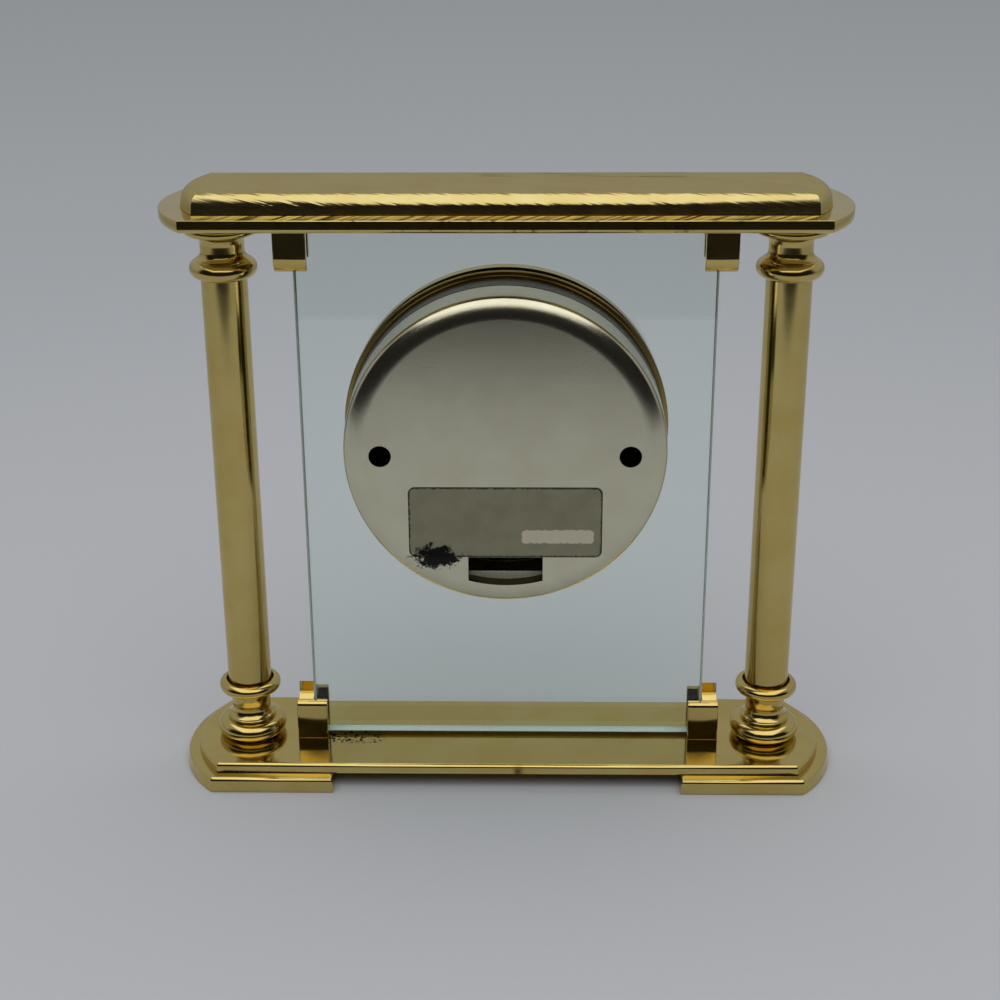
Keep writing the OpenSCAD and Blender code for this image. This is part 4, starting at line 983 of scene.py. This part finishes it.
class CLOCK_OT_bezel(bpy.types.Operator):
    """Bezel, crystal and the slanted ring round the dial"""

    bl_idname = "clock.add_bezel"
    bl_label = "Bezel and crystal"

    def execute(self, context):
        crest = mm("bezel_round")
        bezel = to_mesh(lathed([
            (43.0, -2.9), (43.0, -5.7), ((43.0 - crest, -5.7), -165, 32), (37.65, -6.4), (36.95, -6.4),
            (36.8, -6.25), (36.8, -5.5), (39.1, -5.5), (39.1, -3.8), (42.3, -3.8), (42.3, -2.9),
        ]), "visual_bezel")
        finish(bezel, "case_brass", ["bezel"], "spun_brass_sheet", crease=38)
        section = [(0, -5.5), (38.8, -5.5), (39.0, -5.3), (39.0, -4.3), (0, -4.3)]
        crystal = to_mesh(lathed(section, 192), "visual_crystal")
        finish(crystal, "crystal_glass", ["crystal_lens"], "mineral_crystal", crease=30)
        section = [(37.5, -4.2), (37.5, 1.4), (35.4, 1.4), (36.5, -4.0), (36.7, -4.2)]
        ring = to_mesh(lathed(section), "visual_dial_ring")
        finish(ring, "case_brass", ["dial_ring"], "spun_brass_sheet", crease=38)
        return {"FINISHED"}


def stroke(bm, start, end, width):
    """A printed stroke on the dial, from start to end, in X and Z."""
    start, end = Vector(start), Vector(end)
    way = end - start
    place = Matrix.Translation(((start.x + end.x) / 2, 0, (start.y + end.y) / 2))
    lean = Matrix.Rotation(-math.atan2(way.y, way.x), 4, "Y")
    size = Matrix.Diagonal((way.length, PRINT_DEPTH, width, 1))
    bmesh.ops.create_cube(bm, size=1, matrix=place @ lean @ size)


def join(bm, other):
    """Adds what another bmesh holds, and frees it."""
    data = bpy.data.meshes.new("part")
    other.to_mesh(data)
    other.free()
    bm.from_mesh(data)
    bpy.data.meshes.remove(data)


# Each letter: its width, its strokes from point to point with their weight, and where its serifs stand
LETTERS = {
    "I": (2.0, [((0, -1), (0, 1), 1.0)], [(0, 1), (0, -1)]),
    "V": (4.0, [((-1.35, 1), (0, -1), 1.0), ((1.35, 1), (0, -1), 0.34)], [(-1.35, 1), (1.35, 1)]),
    "X": (4.0, [((-1.35, 1), (1.35, -1), 1.0), ((1.35, 1), (-1.35, -1), 0.34)],
          [(-1.35, 1), (1.35, 1), (-1.35, -1), (1.35, -1)]),
}
# The weight of a numeral's full stroke, the thickness of its serifs and their half width, in millimetres
THICK, THIN, SERIF = 0.95, 0.26, 0.95


def numeral(word, hour):
    """A Roman numeral with thick and thin strokes and serifs, standing at its hour."""
    bm = bmesh.new()
    tall = mm("numeral_height") / 2
    x = -sum(LETTERS[c][0] for c in word) / 2
    for c in word:
        wide, strokes, serifs = LETTERS[c]
        middle = x + wide / 2
        for (x0, z0), (x1, z1), weight in strokes:
            stroke(bm, (middle + x0, z0 * tall), (middle + x1, z1 * tall), THICK * weight)
        for sx, sz in serifs:
            stroke(bm, (middle + sx - SERIF, sz * tall), (middle + sx + SERIF, sz * tall), THIN)
        x += wide
    turned = Matrix.Rotation(math.radians(30 * hour), 4, "Y")
    move(bm, turned @ Matrix.Translation((0, 0, mm("numeral_place"))))
    return bm


class CLOCK_OT_dial(bpy.types.Operator):
    """Enamelled dial with its printed numerals and minute track"""

    bl_idname = "clock.add_dial"
    bl_label = "Dial"

    def execute(self, context):
        face = low("dial").y - HEAD.y
        section = [(4.1, face), (37.4, face), (37.5, face + 0.1), (37.5, face + 0.6), (4.1, face + 0.6)]
        dial = to_mesh(lathed(section), "visual_dial")
        finish(dial, "dial_enamel", ["dial"], "cream_dial_enamel", crease=35)
        bm = bmesh.new()
        for hour, word in enumerate("XII I II III IIII V VI VII VIII IX X XI".split()):
            join(bm, numeral(word, hour))
        for minute in range(60):
            tick = bmesh.new()
            stroke(tick, (0, TRACK_INNER + 0.05), (0, TRACK_OUTER - 0.05), 0.55 if minute % 5 == 0 else 0.2)
            move(tick, Matrix.Rotation(math.radians(6 * minute), 4, "Y"))
            join(bm, tick)
        move(bm, Matrix.Translation(HEAD + Vector((0, face - 0.02, 0))))
        for radius in (TRACK_OUTER, TRACK_INNER):
            near, far = face - 0.05, face + 0.02
            least, most = radius - 0.09, radius + 0.09
            join(bm, lathed([(least, near), (most, near), (most, far), (least, far)]))
        finish(to_mesh(bm, "dial_print"), "hand_black", [], "black_dial_print", crease=40)
        return {"FINISHED"}


# The finish of every piece whose CAD shape stays
INSIDE = {
    "zinc_plated_steel": "tie_bolts tie_nuts crown_screws clip_screws clamp_screws train_bridge stator "
                         "quartz_can contact_plus contact_minus",
    # The clip liners are black rubber cushions, and their black also stands as painted shade: the dark line
    # between each ear and the glass, where the ear's inner face is in shade
    "black_nitrile_rubber": "clip_liners front_gasket rear_gasket dial_washer",
    "spun_brass_sheet": "front_case hand_bushing hand_nut hand_cap",
    "black_hand_lacquer": "hour_hand minute_hand",
    "matt_black_abs": "movement_front movement_back",
    "natural_white_acetal": "hour_wheel minute_arbor minute_wheel setting_knob second_wheel centre_wheel "
                            "third_wheel step_wheel",
    "bonded_grey_magnet": "rotor",
    "enamelled_copper_winding": "coil",
    "green_lacquered_board": "circuit_board",
    "plain_battery_jacket": "battery",
}


class CLOCK_OT_inner_parts(bpy.types.Operator):
    """Finishes of the screws, seals, hands and movement, whose CAD shapes stay"""

    bl_idname = "clock.finish_inner_parts"
    bl_label = "Inner parts"

    def execute(self, context):
        for material, nodes in INSIDE.items():
            for node in nodes.split():
                data = frame["nodes"][node].data
                data.materials.clear()
                data.materials.append(of_kind(material))
        return {"FINISHED"}


class CLOCK_OT_stage(bpy.types.Operator):
    """Pale floor, grey backdrop, a soft lamp and the camera"""

    bl_idname = "clock.set_stage"
    bl_label = "Stage"

    def lamp(self):
        """One large softbox overhead."""
        data = bpy.data.lights.new("overhead_softbox", "AREA")
        data.shape = "RECTANGLE"
        data.size, data.size_y = 1.4, 1.6
        data.energy = 7.0
        data.color = linear("#FFFCF8")
        item = bpy.data.objects.new("overhead_softbox", data)
        item.location = (0, 0.3, 0.85)
        item.rotation_euler = Vector((0, 0, -1)).to_track_quat("-Z", "Y").to_euler()
        bpy.context.scene.collection.objects.link(item)

    def floor(self):
        """A plain floor that ends on the camera's side, and fades into the backdrop on the other."""
        bm = bmesh.new()
        bmesh.ops.create_grid(bm, x_segments=1, y_segments=1, size=FLOOR_HALF)
        move(bm, Matrix.Translation((0, FLOOR_END - FLOOR_HALF, 0)))
        item = to_mesh(bm, "floor")
        material, tree, place, skin = blank("pale_paper_floor")
        fibre = add(tree, "MapRange", (mottle(tree, place, 1.5), 0.3, 0.7, 0, 0.06))
        fill(skin, {
            "Base Color": tones(tree, fibre, 0, 1, paint("floor"), tone("#A9A8A6")),
            "Roughness": 0.75,
            "Specular IOR Level": 0.25,
        })
        away = add(tree, "VectorMath", (place,), "Value", operation="LENGTH")
        far = add(tree, "MapRange", (away, 0.3, 0.75, 0, 1))
        y = add(tree, "SeparateXYZ", (place,), "Y")
        behind = add(tree, "MapRange", (y, -0.10, -0.02, 1, 0))
        fade = add(tree, "Math", (far, behind), operation="MULTIPLY")
        clear = add(tree, "BsdfTransparent")
        surface(tree, add(tree, "MixShader", (fade, skin.outputs[0], clear)))
        item.data.materials.append(material)

    def world(self):
        """Grey backdrop on all sides, with the dim room past the floor's end low on the +Y side."""
        world = bpy.data.worlds.new("grey_backdrop")
        world.use_nodes = True
        tree = world.node_tree
        tree.nodes.clear()
        way = add(tree, "TexCoord", out="Generated")
        _, y, z = add(tree, "SeparateXYZ", (way,)).node.outputs
        grey = tones(tree, z, -0.4, -0.12, paint("backdrop_foot"), paint("backdrop"))
        grey = tones(tree, z, -0.1, 0.3, grey, paint("backdrop_head"))
        facing = add(tree, "MapRange", (y, 0.02, 0.3, 0, 1))
        beneath = add(tree, "MapRange", (z, 0.60, 0.67, 1, 0))
        dim = add(tree, "Math", (facing, beneath), operation="MULTIPLY")
        shown = tones(tree, dim, 0, 1, grey, paint("room"))
        add(tree, "OutputWorld", (add(tree, "Background", (shown, 1)),))
        bpy.context.scene.world = world

    def camera(self):
        """The camera of the photograph, solved from the clock's edges in it."""
        data = bpy.data.cameras.new("camera")
        data.lens = 65.9523
        data.sensor_width = 36
        data.clip_start = 0.01
        item = bpy.data.objects.new("camera", data)
        right = Vector((-0.999831, -0.017762, -0.004824))
        up = Vector((0.002456, -0.388551, 0.921424))
        back = -Vector((0.01824, -0.921256, -0.388529))
        turned = Matrix((right, up, back)).transposed().to_4x4()
        item.matrix_world = Matrix.Translation(Vector((-7.3189, 462.2851, 274.5572)) * MM) @ turned
        bpy.context.scene.collection.objects.link(item)
        bpy.context.scene.camera = item

    def execute(self, context):
        self.floor()
        self.world()
        self.lamp()
        self.camera()
        context.scene.view_settings.view_transform = "Standard"
        return {"FINISHED"}


OPERATORS = (
    CLOCK_OT_plates,
    CLOCK_OT_crown,
    CLOCK_OT_columns,
    CLOCK_OT_clips,
    CLOCK_OT_glass,
    CLOCK_OT_rear_case,
    CLOCK_OT_cap,
    CLOCK_OT_label,
    CLOCK_OT_bezel,
    CLOCK_OT_dial,
    CLOCK_OT_inner_parts,
    CLOCK_OT_stage,
)


class CLOCK_PT_pieces(bpy.types.Panel):
    """Lists the pieces of the clock in the sidebar"""

    bl_idname = "CLOCK_PT_pieces"
    bl_label = "Column desk clock"
    bl_space_type = "VIEW_3D"
    bl_region_type = "UI"
    bl_category = "Clock"

    def draw(self, context):
        for operator in OPERATORS:
            self.layout.operator(operator.bl_idname)


CLASSES = (ClockSizes, ClockColours, *OPERATORS, CLOCK_PT_pieces)


def register():
    """Registers the classes and their settings."""
    for each in CLASSES:
        bpy.utils.register_class(each)
    bpy.types.Scene.clock_sizes = PointerProperty(type=ClockSizes)
    bpy.types.Scene.clock_colours = PointerProperty(type=ClockColours)


def unregister():
    """Removes them again."""
    del bpy.types.Scene.clock_colours
    del bpy.types.Scene.clock_sizes
    for each in reversed(CLASSES):
        bpy.utils.unregister_class(each)


def main():
    """Builds every piece and the stage."""
    register()
    for operator in OPERATORS:
        group, name = operator.bl_idname.split(".")
        getattr(getattr(bpy.ops, group), name)()


if __name__ == "__main__":
    main()
